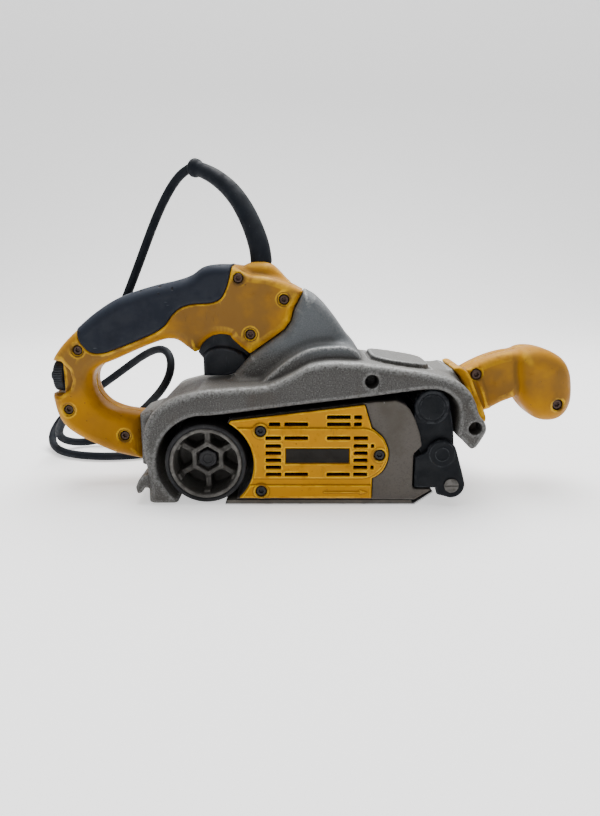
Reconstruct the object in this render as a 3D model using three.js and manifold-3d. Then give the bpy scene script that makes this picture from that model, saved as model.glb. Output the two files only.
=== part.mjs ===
// Handheld belt sander, 3 x 21 inch class, as an assembly of separate pieces.
// Millimetres, +Z up, +X towards the front, the open belt side faces -Y.
// Origin: middle of the tool's own box, on the surface that it stands on.
import * as THREE from "three";
import { mergeVertices } from "three/addons/utils/BufferGeometryUtils.js";
import Module from "manifold-3d";

const wasm = await Module();
wasm.setup();

// ---------------------------------------------------------------- driving dimensions
const GAP = 0.3; // clearance between touching pieces
const BELT_W = 76; // width of the abrasive belt that the rollers carry
const NEAR = -57; // near face of the casting, where the belt slides on
const BELT_Y0 = NEAR + 1;
const BELT_Y1 = BELT_Y0 + BELT_W; // 20
const WALL_Y0 = 22; // far wall of the casting, which carries the drive
const WALL_Y1 = 27;
const CASE_Y = 54; // rim of the drive case
const COVER_Y = 57.9; // outer face of the belt cover

const DRUM = { x: -76.8, z: 31.2, hub: 26, tyre: 29.5 };
const MOTOR = { x: 4, z: 37.5, field: 28, core: 18, shaft: 4, stub: 2 };
const TEETH = { motor: 14, drum: 66 };
const PITCH = 2.032; // tooth pitch of the drive belt
const UPPER = { x: 84.6, z: 71.9, r: 9 };
const PIN = { x: 92.3, z: 38.6, r: 3 };
const NOSE = { x: 99.9, z: 15.3, r: 9 };
const BEARING = { outer: 13, inner: 5, width: 7 };
const TRIGGER_PIVOT = { x: -48, z: 111 };
const DIAL = { x: -198.4, z: 85.6, r: 12.4, width: 8 };

const HANDLE_HALF = 17; // half width of the rear handle loop
const BODY_HALF = 26; // half width of the handle where it meets the tower
const TOWER_HALF = 31;
const SHELL = 3; // wall of the moulded shells
const GRIP_T = 2.5; // thickness of the soft grip
const KNOB_HALF = 20;
const LEAD_D = 7;
const COIL = { x: -8, y: 141.3, r: 41.5, half: 14.8, top: 15 }; // four turns across, two high
const TENSION = 6; // travel of the front roller

// ---------------------------------------------------------------- helpers
const V2 = (x, y) => new THREE.Vector2(x, y);
const V3 = (x, y, z) => new THREE.Vector3(x, y, z);
const rad = (deg) => (deg * Math.PI) / 180;

// points on an arc, angles in degrees, first and last included
function arc(cx, cz, r, from, to, steps = 8) {
  const list = [];
  for (let i = 0; i <= steps; i++) {
    const a = rad(from + ((to - from) * i) / steps);
    list.push([cx + r * Math.cos(a), cz + r * Math.sin(a)]);
  }
  return list;
}

// points along a smooth curve through the given ones
function smooth(points, per = 3) {
  return new THREE.SplineCurve(points.map(([x, z]) => V2(x, z)))
    .getPoints((points.length - 1) * per)
    .map((p) => [p.x, p.y]);
}

const circle = (cx, cz, r, n = 24) => arc(cx, cz, r, 0, 360 - 360 / n, n - 1);
const rect = (x0, z0, x1, z1) => [[x0, z0], [x1, z0], [x1, z1], [x0, z1]];

function area(points) {
  let sum = 0;
  points.forEach(([x, z], i) => {
    const [u, v] = points[(i + 1) % points.length];
    sum += x * v - u * z;
  });
  return sum / 2;
}

function distance([x, z], [ax, az], [bx, bz]) {
  const [ux, uz] = [bx - ax, bz - az];
  const t = Math.min(1, Math.max(0, ((x - ax) * ux + (z - az) * uz) / (ux * ux + uz * uz || 1)));
  return Math.hypot(x - ax - t * ux, z - az - t * uz);
}

// the outline moved inwards by d, or outwards where d is negative; points that a tight
// corner would fold over are left out
function inset(points, d) {
  const n = points.length;
  const side = Math.sign(area(points));
  const next = (i) => points[(i + 1) % n];
  const moved = points.map(([x, z], i) => {
    const [px, pz] = points[(i + n - 1) % n];
    const [qx, qz] = next(i);
    const a = V2(x - px, z - pz).normalize();
    const b = V2(qx - x, qz - z).normalize();
    const m = V2(-a.y - b.y, a.x + b.x).normalize();
    const grow = 1 / Math.max(0.35, m.x * -a.y + m.y * a.x);
    return [x + m.x * d * side * grow, z + m.y * d * side * grow];
  });
  return moved.filter((p) =>
    points.every((q, i) => distance(p, q, next(i)) >= Math.abs(d) * 0.96));
}

function shapeOf(points, holes = []) {
  const shape = new THREE.Shape(points.map(([x, z]) => V2(x, z)));
  for (const h of holes) shape.holes.push(new THREE.Path(h.map(([x, z]) => V2(x, z))));
  return shape;
}

// an outline in the XZ plane made solid from y0 to y1, with rounded rims where asked
function slab(points, y0, y1, { holes = [], bevel = 0, steps = 2 } = {}) {
  const geo = new THREE.ExtrudeGeometry(shapeOf(points, holes), {
    depth: y1 - y0 - 2 * bevel,
    bevelEnabled: bevel > 0,
    bevelThickness: bevel,
    bevelSize: bevel,
    bevelOffset: -bevel,
    bevelSegments: steps,
    steps: 1,
  });
  return geo.rotateX(Math.PI / 2).translate(0, y1 - bevel, 0);
}

// a turned piece: profile points are [radius, distance along the axis]
function turned(profile, { x = 0, y = 0, z = 0, axis = "y", n = 28 } = {}) {
  const geo = new THREE.LatheGeometry(profile.map(([r, h]) => V2(r, h)), n);
  if (axis === "x") geo.rotateZ(-Math.PI / 2);
  if (axis === "z") geo.rotateX(Math.PI / 2);
  return geo.translate(x, y, z);
}

const rod = (r, h0, h1, place) => turned([[0, h0], [r, h0], [r, h1], [0, h1]], place);
const ring = (r0, r1, h0, h1, place) =>
  turned([[r0, h0], [r1, h0], [r1, h1], [r0, h1], [r0, h0]], place);
const box = (x0, y0, z0, x1, y1, z1) =>
  new THREE.BoxGeometry(x1 - x0, y1 - y0, z1 - z0).translate(
    (x0 + x1) / 2, (y0 + y1) / 2, (z0 + z1) / 2);

// one closed skin: shared corners merged, empty triangles dropped, faces turned outwards
function closed(geometry) {
  let g = geometry.clone();
  g.deleteAttribute("normal");
  g.deleteAttribute("uv");
  g = mergeVertices(g, 1e-4);
  const p = g.attributes.position;
  const at = (i) => new THREE.Vector3().fromBufferAttribute(p, i);
  const index = [];
  let volume = 0;
  for (let i = 0; i < g.index.count; i += 3) {
    const [a, b, c] = [0, 1, 2].map((k) => g.index.getX(i + k));
    if (a === b || b === c || a === c) continue;
    index.push(a, b, c);
    volume += at(a).dot(at(b).cross(at(c)));
  }
  if (volume < 0) index.reverse();
  g.setIndex(index);
  g.computeVertexNormals();
  return g;
}

function toSolid(geometry) {
  if (!geometry.isBufferGeometry) return geometry;
  const g = closed(geometry);
  return new wasm.Manifold(new wasm.Mesh({
    numProp: 3,
    vertProperties: Float32Array.from(g.attributes.position.array),
    triVerts: Uint32Array.from(g.index.array),
  }));
}

function toGeometry(solid) {
  if (solid.isBufferGeometry) return closed(solid);
  const m = solid.getMesh();
  const g = new THREE.BufferGeometry();
  g.setAttribute("position", new THREE.BufferAttribute(Float32Array.from(m.vertProperties), 3));
  g.setIndex(new THREE.BufferAttribute(Uint32Array.from(m.triVerts), 1));
  g.computeVertexNormals();
  return g;
}

const join = (...parts) => parts.map(toSolid).reduce((a, b) => a.add(b));
const cut = (first, ...tools) => tools.map(toSolid).reduce((a, b) => a.subtract(b), toSolid(first));
const common = (a, b) => toSolid(a).intersect(toSolid(b));

const sander = new THREE.Group();
function add(name, geometry, material) {
  const mesh = new THREE.Mesh(toGeometry(geometry), material);
  mesh.name = name;
  sander.add(mesh);
}

const look = (color, roughness, metalness = 0) =>
  new THREE.MeshStandardMaterial({ color, roughness, metalness });
const M = {
  yellow: look(0xd6a21e, 0.5),
  cast: look(0x85858a, 0.5, 0.8),
  frame: look(0x6f6a64, 0.6, 0.7),
  grip: look(0x2a3040, 0.85),
  black: look(0x16181c, 0.6),
  rubber: look(0x101012, 0.9),
  hub: look(0x4a4846, 0.55, 0.6),
  steel: look(0xb8babd, 0.3, 1),
  dark: look(0x2c2a28, 0.5, 0.8),
  copper: look(0xb06a3a, 0.4, 0.9),
  cork: look(0x8a6a48, 0.9),
};

// ---------------------------------------------------------------- outlines of the casting
const HOOD_TOP = [
  ...smooth([[-117.9, 1.8], [-117.4, 20], [-120, 44], [-117.5, 57.5], [-110, 67.5], [-98, 74.8],
    [-78.6, 82.4]], 1),
  [-52, 83.6], [-30, 85.2],
  ...smooth([[-24, 87.2], [-15.7, 93.4], [-8, 98], [-1, 99.8]], 2),
  [36.4, 98.4], [85.6, 93.4],
  ...smooth([[96, 89.4], [103.5, 83.6], [109.7, 74.9]], 2),
];
const LUG = [[117.3, 66.2], [121.5, 61.5], [122.8, 56.7], [118.5, 47], [114.3, 41.8], [112.4, 41.8],
  [101.8, 52.7]];
const CHANNEL = [
  ...smooth([[103.2, 64], [102.6, 73], [98.4, 80.2], [91, 84.6], [84, 85.6]], 2),
  [74.3, 85.4], [41.1, 80.6], [-12.5, 74.2], [-66, 67.4],
  ...arc(DRUM.x, DRUM.z, 35.5, 88, 236, 12),
];
const HOOD = [...HOOD_TOP, ...LUG, ...CHANNEL];
const PORT = { x: 19, z: 61, r: 11.5 }; // dust outlet
const CASE_FRONT = 38; // the drive case ends here, and beyond it the far wall is bare
const WALL = [...HOOD_TOP, ...LUG.slice(0, 6), [106, 48], [104, 24], [96, 10], [78, 4], [-108, 4]];
const CASE = [[-117.6, 4], [-117.9, 22], [-119, 44], [-110, 66], [-78.6, 80], [CASE_FRONT - 12, 80],
  [CASE_FRONT, 68], [CASE_FRONT, 18], [20, 4]];

// the inner frame, which stands inside the abrasive belt
const FRAME_ARC = 34.2;
const FRAME = [
  [74.4, 3.6], [86, 11], [85.4, 12], [72.4, 12], [72.2, 38.2],
  [77.9, 44.4], [76.3, 53], ...smooth([[73, 62.5], [69.4, 69.8], [64.5, 75], [58.6, 77.6]], 2),
  [41.4, 76.4], [-58.6, 64.2], ...arc(DRUM.x, DRUM.z, FRAME_ARC, 62, -53, 12),
];
const COVER = [
  [42.6, 5.4],
  ...smooth([[42.6, 20.6], [50.6, 26.6], [54, 38.3], [50.4, 49.6], [41.6, 57.8]], 3),
  [36.4, 74.6], [-57.8, 63.2], ...arc(DRUM.x, DRUM.z, FRAME_ARC + 0.6, 60, -47.5, 12),
];

// ---------------------------------------------------------------- outlines of the handle
const LOOP_OUTER = [
  [-131.8, 20.5], ...smooth([[-153.7, 25.6], [-169.2, 32.7], [-180.7, 38.5],
    [-192.2, 46.5], [-198, 56], [-200.6, 68], [-202.5, 85], [-200, 97], [-191.5, 108.6], [-176, 123],
    [-161.8, 134.5], [-145.9, 144.3], [-130.3, 150.3], [-114.9, 154.7], [-99.7, 158.1],
    [-88.3, 162.1], [-80.5, 167.3], [-72.9, 169.3], [-56, 169.4]], 1),
];
const TRIGGER_ARC = { x: -66.5, z: 99.7, r: 20 };
const LOOP_INNER = [
  [-88.8, 104.9],
  ...smooth([[-95.4, 110], [-102.4, 114.6], [-108.6, 115.2], [-117.1, 113], [-132.9, 106.8],
    [-148.8, 99.8], [-163.4, 93.2],
    [-167.6, 88], [-168, 79.6], [-165.5, 71.2], [-159.1, 63.9], [-147.6, 59.4],
    [-135.7, 57.2]], 1), [-131.8, 57],
];
const BODY_TOP = smooth([[-56, 169.4], [-51, 169.4], [-46.6, 171.5], [-39, 172], [-31.6, 171],
  [-24.8, 165.9], [-17.5, 157.6], [-6.9, 151]], 1);
const SEAM = [[-13.3, 139.2], [-15.8, 129.8], [-20.3, 123.6], [-46, 105.6]];
const HANDLE = [...LOOP_OUTER.slice(0, -1), ...BODY_TOP, ...SEAM, [-59.4, 116.6],
  ...arc(TRIGGER_ARC.x, TRIGGER_ARC.z, TRIGGER_ARC.r, 68, 162, 7), ...LOOP_INNER];
const BODY = [[-60.5, 167], ...BODY_TOP, ...SEAM, [-59.4, 116.6], [-62, 124]];
const GRIP_TOP = smooth([[-176, 123.4], [-161.8, 134.5], [-145.9, 144.3], [-130.3, 150.3],
  [-114.9, 154.7], [-99.7, 158.1], [-88.3, 162.1], [-80.5, 167.3], [-72.9, 169.3], [-60.4, 169.6]], 1);
const GRIP = [
  ...GRIP_TOP, ...smooth([[-60, 162], [-63, 152.4], [-67, 146], [-73, 143], [-88.7, 141.6],
    [-97.6, 138.8], [-103.7, 133.7], [-109.3, 126.3], [-116, 121.4], [-128.4, 115.8], [-143.8, 109.8],
    [-156.8, 105.3], [-166, 106], [-172.6, 111.6]], 1),
];

// ---------------------------------------------------------------- casting
function mainHousing() {
  const caseWall = cut(slab(CASE, WALL_Y0, CASE_Y), slab(inset(CASE, 4), WALL_Y1, CASE_Y + 1));
  const wall = slab(WALL, WALL_Y0, WALL_Y1);
  const hood = slab(HOOD, NEAR, CASE_Y);
  const rearBoss = slab([[-112, 64], [-120, 64.5], [-131.4, 60], [-131.4, 18], [-119, 14],
    [-112, 40]], -22, 22, { bevel: 3, steps: 1 });
  const tower = slab([[-6, 151.8], ...smooth([[2, 147.4], [10, 139.8], [25.5, 119.4],
    [38, 97]], 2), [38, 84], [-58, 84], [-57.6, 91], [-45.2, 104.8],
    [-20, 123], [-15.4, 129.6], [-12.9, 139]], -TOWER_HALF, TOWER_HALF, { bevel: 3, steps: 1 });
  const towerPocket = slab([[-20, 149], [-5, 146.4], [6.5, 136.8], [21, 117.4], [31, 99.6], [26, 98],
    [-38, 97.6], [-42.5, 102], [-50, 110]], -TOWER_HALF + 4, TOWER_HALF - 4);
  const deck = slab([[-112, 62], ...smooth([[-109, 70], [-98, 77.8], [-82, 83.6]], 2), [-52, 85],
    [40, 96], [62, 98], [60, 82], [-60, 70]], -TOWER_HALF, TOWER_HALF + 4);
  const pad = slab([[44, 90], [46.5, 101.6], [52, 103.2], [63, 103], [75, 100.8], [84, 96], [84, 88]],
    -24, 14, { bevel: 1.5, steps: 1 });
  const flangeBoss = slab([[86, 90], [101.6, 95], [105.2, 93.6], [127.8, 56.8], [121.5, 55],
    [106, 62], [96, 82]], -23, 23, { bevel: 2, steps: 1 });
  const bosses = [
    ring(BEARING.outer + 0.2, 17, WALL_Y1 - 1, 40, { x: DRUM.x, z: DRUM.z }),
    ring(11.2, 15, WALL_Y0 - 0.2, 31, { x: MOTOR.x, z: MOTOR.z }),
    ring(3.6, 9, WALL_Y0 + 0.1, WALL_Y1 + 2, { x: UPPER.x, z: UPPER.z, n: 20 }),
  ];
  const bores = [
    rod(BEARING.outer + 0.2, WALL_Y0 - 1, 44.5, { x: DRUM.x, z: DRUM.z }),
    rod(11.2, WALL_Y0 - 1, 32, { x: MOTOR.x, z: MOTOR.z }),
    rod(3.6, 0, 40, { x: UPPER.x, z: UPPER.z, n: 16 }),
    rod(4.7, NEAR - 1, NEAR + 14, { x: 114.8, z: 57.6, n: 20 }),
    rod(4.7, CASE_Y - 14, CASE_Y + 1, { x: 114.8, z: 57.6, n: 20 }),
    rod(4.8, NEAR - 1, NEAR + 16, { x: 41, z: 90.6, n: 20 }),
  ];
  return cut(join(hood, wall, caseWall, rearBoss, deck, tower, pad, flangeBoss, ...bosses),
    towerPocket, ...bores);
}

function innerFrame() {
  const wallT = 3.2;
  const boxed = FRAME.map(([x, z]) => [z > 12.8 ? Math.min(x, 70.6) : x, z]);
  const body = join(slab(FRAME, NEAR + 2, NEAR + 4.9), slab(boxed, NEAR + 4, BELT_Y1 + 1.5));
  const inside = [[-44, 7], [67.4, 7], [67.4, 66], [60, 73.6], [40, 72.6], [-52, 61],
    ...arc(DRUM.x, DRUM.z, FRAME_ARC + wallT, 50, -38, 8)];
  const bearingPost = join(
    box(MOTOR.x - 6, NEAR + 6, 6, MOTOR.x + 6, NEAR + 10.2, 70),
    ring(11.2, 15, NEAR + 5, NEAR + 10.2, { x: MOTOR.x, z: MOTOR.z }));
  return cut(
    join(cut(body,
      slab(inset(COVER, -0.5), NEAR - 1, NEAR + 4.7),
      slab(inside, NEAR + 4.9, BELT_Y1 - 2),
      slab(inset(COVER, 5), NEAR - 1, NEAR + 6)), bearingPost),
    rod(11.2, NEAR + 3, NEAR + 14, { x: MOTOR.x, z: MOTOR.z }),
    rod(14, BELT_Y1 - 3, BELT_Y1 + 3, { x: MOTOR.x, z: MOTOR.z }));
}

const COVER_SCREWS = [[-36.9, 56.0], [-37.0, 11.2], [47.6, 38.4]];

function ventSlots() {
  const groups = [
    { x0: -33.5, x1: -22.5, rows: [51.0, 45.2, 39.9, 34.6, 29.3, 24] },
    { x0: -20, x1: -3.4, rows: [60.8, 51.0, 24] },
    { x0: 10, x1: 26.6, rows: [66, 60.8, 51.0, 24] },
    { x0: 29, x1: 39, rows: [51.0, 45.2, 39.9, 34.6, 29.3, 24] },
    { x0: 29, x1: 34.5, rows: [66, 60.8] },
  ];
  return groups.flatMap(({ x0, x1, rows }) =>
    rows.map((z) => box(x0, NEAR - 1, z - 1.1, x1, NEAR + 6, z + 1.1)));
}

function ventCover() {
  const skin = slab(COVER, NEAR, NEAR + 4.3);
  const rib = slab([[-40, 21], [36, 21], ...smooth([[36, 21], [45.6, 25.4], [51, 32],
    [52.4, 38.4], [51, 44.8], [45.6, 51.8], [36, 58]], 2).slice(1), [-40, 58]],
    NEAR - 0.9, NEAR + 1);
  const holes = COVER_SCREWS.map(([x, z]) => rod(1.9, NEAR - 3, NEAR + 8, { x, z, n: 12 }));
  const sinks = COVER_SCREWS.map(([x, z]) => rod(4.1, NEAR - 3, NEAR + 1.6, { x, z, n: 16 }));
  return cut(join(skin, rib), ...ventSlots(), ...holes, ...sinks);
}

function beltCover() {
  const big = { x: DRUM.x, z: DRUM.z + 0.6, r: 26.4 };
  const small = { x: MOTOR.x + 2, z: MOTOR.z, r: 15 };
  const bulge = [...arc(big.x, big.z, big.r, 88, 268, 14),
    ...arc(small.x, small.z, small.r, -88, 92, 10)];
  const plate = slab(inset(CASE, 0.8), CASE_Y + GAP, CASE_Y + 2.6);
  return cut(
    join(plate, slab(bulge, CASE_Y + 1, COVER_Y, { bevel: 1.5, steps: 1 })),
    slab(inset(bulge, 2), CASE_Y - 1, COVER_Y - 2),
    rod(PORT.r + GAP, CASE_Y - 1, COVER_Y + 1, { x: PORT.x, z: PORT.z, n: 28 }));
}

add("main_housing", mainHousing(), M.cast);
add("inner_frame", innerFrame(), M.frame);
add("vent_cover", ventCover(), M.yellow);
add("belt_cover", beltCover(), M.black);
COVER_SCREWS.forEach(([x, z], i) =>
  add(`vent_cover_screw_${i + 1}`, turned([[0, NEAR - 0.8], [3.5, NEAR - 0.8], [3.5, NEAR + 1.2],
    [1.5, NEAR + 1.2], [1.5, NEAR + 4.2], [0, NEAR + 4.2]], { x, z, n: 9 }), M.dark));

// ---------------------------------------------------------------- drive
const BIG_R = (TEETH.drum * PITCH) / (2 * Math.PI);
const SMALL_R = (TEETH.motor * PITCH) / (2 * Math.PI);
const PULLEY_Y0 = 41;
const PULLEY_Y1 = 50;

function toothedWheel(r, teeth, y0, y1, bore, place) {
  const rim = [];
  for (let i = 0; i < teeth; i++) {
    const a = (i / teeth) * 2 * Math.PI;
    const w = (2 * Math.PI) / teeth;
    rim.push([r * Math.cos(a), r * Math.sin(a)]);
    rim.push([r * Math.cos(a + w * 0.5), r * Math.sin(a + w * 0.5)]);
    rim.push([(r - 0.7) * Math.cos(a + w * 0.6), (r - 0.7) * Math.sin(a + w * 0.6)]);
    rim.push([(r - 0.7) * Math.cos(a + w * 0.9), (r - 0.7) * Math.sin(a + w * 0.9)]);
  }
  return slab(rim, y0, y1, { holes: [circle(0, 0, bore, 16)] }).translate(place.x, 0, place.z);
}

function driveDrum() {
  const place = { x: DRUM.x, z: DRUM.z };
  const rim = ring(23.4, DRUM.hub, BELT_Y0, BELT_Y1, { ...place, n: 30 });
  const web = ring(8, 24, -19, -14, { ...place, n: 32 });
  const boss = slab(circle(0, 0, 11.7, 6).map(([x, z]) => [z, x]), BELT_Y0 + 8, 8,
    {}).translate(DRUM.x, 0, DRUM.z);
  const ribs = [0, 1, 2, 3, 4, 5].map((i) =>
    box(9, BELT_Y0 + 6, -1.3, 24.2, -15, 1.3).rotateY(rad(30 + 60 * i)).translate(DRUM.x, 0, DRUM.z));
  return cut(join(rim, web, boss, ...ribs), rod(5.3, BELT_Y0 + 20, BELT_Y1, { ...place, n: 16 }),
    rod(7.6, BELT_Y0 - 1, BELT_Y0 + 21, { ...place, n: 18 }));
}

add("drive_drum", driveDrum(), M.hub);
add("drum_tyre", turned([[DRUM.hub + GAP, BELT_Y0 + 0.4], [DRUM.tyre - 0.6, BELT_Y0 + 0.4],
  [DRUM.tyre - 0.2, -20], [DRUM.tyre, BELT_Y0 + BELT_W / 2], [DRUM.tyre - 0.6, BELT_Y1 - 0.4],
  [DRUM.hub + GAP, BELT_Y1 - 0.4], [DRUM.hub + GAP, BELT_Y0 + 0.4]],
{ x: DRUM.x, z: DRUM.z, n: 36 }), M.rubber);
add("drum_shaft", rod(4.9, BELT_Y0 + 22, 52, { x: DRUM.x, z: DRUM.z, n: 16 }), M.steel);
add("drum_bolt", slab(circle(DRUM.x, DRUM.z, 6.9, 6), BELT_Y0 + 12, BELT_Y0 + 20.4), M.dark);
[WALL_Y0 + 1, WALL_Y0 + 10.5].forEach((y, i) =>
  add(`drum_bearing_${i + 1}`, ring(BEARING.inner + GAP, BEARING.outer - GAP / 2, y,
    y + BEARING.width, { x: DRUM.x, z: DRUM.z, n: 24 }), M.steel));
add("drum_pulley", turned([[5.2, PULLEY_Y0], [BIG_R + 1.6, PULLEY_Y0], [BIG_R + 1.6, PULLEY_Y0 + 0.8],
  [BIG_R - 1, PULLEY_Y0 + 0.8], [BIG_R - 1, PULLEY_Y1], [5.2, PULLEY_Y1], [5.2, PULLEY_Y0]],
{ x: DRUM.x, z: DRUM.z, n: 36 }), M.dark);

add("motor_field", ring(MOTOR.core + 1.2, MOTOR.field, -33, 2, { x: MOTOR.x, z: MOTOR.z, n: 32 }),
  M.dark);
add("armature", turned([[0, -52], [MOTOR.shaft, -52], [MOTOR.shaft, -46.5], [11.5, -46.5],
  [11.5, -36.5], [7, -35.5], [15, -34], [MOTOR.core, -31], [MOTOR.core, 0], [15, 3.4],
  [MOTOR.shaft, 4.4], [MOTOR.shaft, 32], [MOTOR.stub, 33], [MOTOR.stub, 51], [0, 51]],
{ x: MOTOR.x, z: MOTOR.z, n: 16 }), M.copper);
add("motor_bearing_1", ring(4.3, 10.9, NEAR + 5.2, NEAR + 10, { x: MOTOR.x, z: MOTOR.z, n: 20 }),
  M.steel);
add("motor_bearing_2", ring(4.3, 10.9, WALL_Y0 + 1, WALL_Y0 + 8, { x: MOTOR.x, z: MOTOR.z, n: 20 }),
  M.steel);

function coolingFan() {
  const blades = Array.from({ length: 9 }, (_, i) =>
    box(7, 6.8, -0.9, 24, 16, 0.9).rotateY(rad(40 * i)).translate(MOTOR.x, 0, MOTOR.z));
  const disc = ring(4.3, 24.5, 5.2, 7.2, { x: MOTOR.x, z: MOTOR.z, n: 28 });
  const hub = ring(4.3, 8, 5.2, 17, { x: MOTOR.x, z: MOTOR.z, n: 16 });
  return cut(join(disc, hub, ...blades), rod(4.3, 0, 20, { x: MOTOR.x, z: MOTOR.z, n: 16 }));
}
add("cooling_fan", coolingFan(), M.black);
[-1, 1].forEach((side, i) =>
  add(`brush_holder_${i + 1}`, join(
    box(MOTOR.x + side * 12.2, -46, MOTOR.z - 3.5, MOTOR.x + side * 27, -38, MOTOR.z + 3.5),
    box(MOTOR.x + side * 20, -46, MOTOR.z - 6, MOTOR.x + side * 22, -38, MOTOR.z + 6)), M.copper));
add("motor_pulley", toothedWheel(SMALL_R - 0.4, TEETH.motor, PULLEY_Y0, PULLEY_Y1,
  MOTOR.stub + GAP, MOTOR), M.dark);

function drivePath(rBig, rSmall) {
  const dx = MOTOR.x - DRUM.x;
  const dz = MOTOR.z - DRUM.z;
  const tilt = (Math.atan2(dz, dx) * 180) / Math.PI;
  const lean = (Math.asin((rBig - rSmall) / Math.hypot(dx, dz)) * 180) / Math.PI;
  return [...arc(DRUM.x, DRUM.z, rBig, 90 + tilt - lean, 270 + tilt + lean, 20),
    ...arc(MOTOR.x, MOTOR.z, rSmall, -90 + tilt + lean, 90 + tilt - lean, 10)];
}
add("toothed_belt", slab(drivePath(BIG_R + 1.2, SMALL_R + 1.6), PULLEY_Y0 + 1, PULLEY_Y1 - 1,
  { holes: [drivePath(BIG_R - 0.6, SMALL_R - 0.2)] }), M.rubber);

// ---------------------------------------------------------------- platen
add("platen_pad", box(-62, BELT_Y0 + 1, 1.3, 72, BELT_Y1 + 1, 3.3), M.cork);
add("platen_sheet", slab([[-63.4, 0], [74, 0], [87.4, 9.4], [86.9, 10.2], [73.7, 1], [-63.4, 1]],
  BELT_Y0 + 1, BELT_Y1 + 1), M.steel);

// ---------------------------------------------------------------- front rollers
const ARM_NEAR = [NEAR + 5.3, NEAR + 8];
const NOSE_NEAR = [NEAR + 0.6, NEAR + 4.4];
const ARM = [...arc(UPPER.x, UPPER.z, 12.8, 20, 180, 8), [72.4, 48], [80.4, 34],
  ...arc(PIN.x, PIN.z, 9.6, 220, 360, 6), [100.4, 58]];
const NOSE_PLATE = [[73.4, 13.6], [73.2, 36.6], [80.6, 38.4], ...arc(PIN.x, PIN.z, 10.6, 168, 14, 8),
  ...arc(NOSE.x, NOSE.z, 9.8, 14, -92, 8), [90, 8.2], [88.6, 13.2]];

function armPart(outline, near, far, tie) {
  const [y0, y1] = near;
  return join(slab(outline, y0, y1), slab(outline, far[0], far[1]),
    slab(tie, y0 + 1, far[1] - 1));
}

add("roller_arm", cut(armPart(ARM, ARM_NEAR, [17.6, 21.4],
  rect(79.5, 52, 84, 60)),
rod(3.4, NEAR, 30, { x: UPPER.x, z: UPPER.z, n: 16 }),
rod(3.3, NEAR, 30, { x: PIN.x, z: PIN.z, n: 16 })), M.black);
const NOSE_SLOT = [...arc(PIN.x, PIN.z, 3.3, -90, 90),
  ...arc(PIN.x - TENSION - GAP, PIN.z, 3.3, 90, 270)];
add("nose_bracket", cut(armPart(NOSE_PLATE, NOSE_NEAR, [13, 16.6],
  [[74, 14.4], [80, 14.4], [80, 26], [74, 26]]),
slab(NOSE_SLOT, NEAR - 1, 30),
rod(3.3, NEAR - 1, 30, { x: NOSE.x, z: NOSE.z, n: 16 })), M.black);
add("pivot_pin", turned([[0, NEAR - 0.6], [4.6, NEAR - 0.6], [4.6, NEAR + 0.3], [PIN.r, NEAR + 0.3],
  [PIN.r, 21], [0, 21]], { x: PIN.x, z: PIN.z, n: 14 }), M.dark);
add("upper_roller_axle", rod(3, ARM_NEAR[0] + 0.2, WALL_Y1, { x: UPPER.x, z: UPPER.z, n: 14 }), M.steel);
add("nose_roller_axle", rod(3, NEAR + 0.4, 17, { x: NOSE.x, z: NOSE.z, n: 14 }), M.steel);
add("upper_roller", turned([[3.4, -47.5], [8.2, -47.5], [UPPER.r, -18], [8.2, 16.8], [3.4, 16.8],
  [3.4, -47.5]], { x: UPPER.x, z: UPPER.z, n: 24 }), M.steel);
add("nose_roller", turned([[3.4, -51.5], [8.2, -51.5], [NOSE.r, -18], [8.2, 12.4], [3.4, 12.4],
  [3.4, -51.5]], { x: NOSE.x, z: NOSE.z, n: 24 }), M.steel);

// ---------------------------------------------------------------- far side controls
const LEVER = { x: 62, z: 48 };
add("tension_lever", join(rod(8, WALL_Y1 + GAP, WALL_Y1 + 9, { x: LEVER.x, z: LEVER.z, n: 20 }),
  slab([[LEVER.x - 5, 46], [LEVER.x - 4, 20], [LEVER.x + 1, 14], [LEVER.x + 6, 20],
    [LEVER.x + 5, 46]], WALL_Y1 + 3, WALL_Y1 + 11, { bevel: 1, steps: 1 })), M.black);
function trackingKnob() {
  const outline = [];
  for (let i = 0; i < 12; i++) {
    const a = rad(30 * i);
    const b = rad(30 * (i + 0.5));
    outline.push([9.5 * Math.cos(a), 9.5 * Math.sin(a)], [8.3 * Math.cos(b), 8.3 * Math.sin(b)]);
  }
  return slab(outline, WALL_Y1 + 3, WALL_Y1 + 15, { bevel: 0.8, steps: 1 });
}
const TRACK = { x: 92, z: 52 };
add("tracking_knob", trackingKnob().translate(TRACK.x, 0, TRACK.z), M.black);
add("dust_port", ring(PORT.r - 2, PORT.r, WALL_Y1 + 6, COVER_Y, { x: PORT.x, z: PORT.z, n: 28 }),
  M.black);

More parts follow.
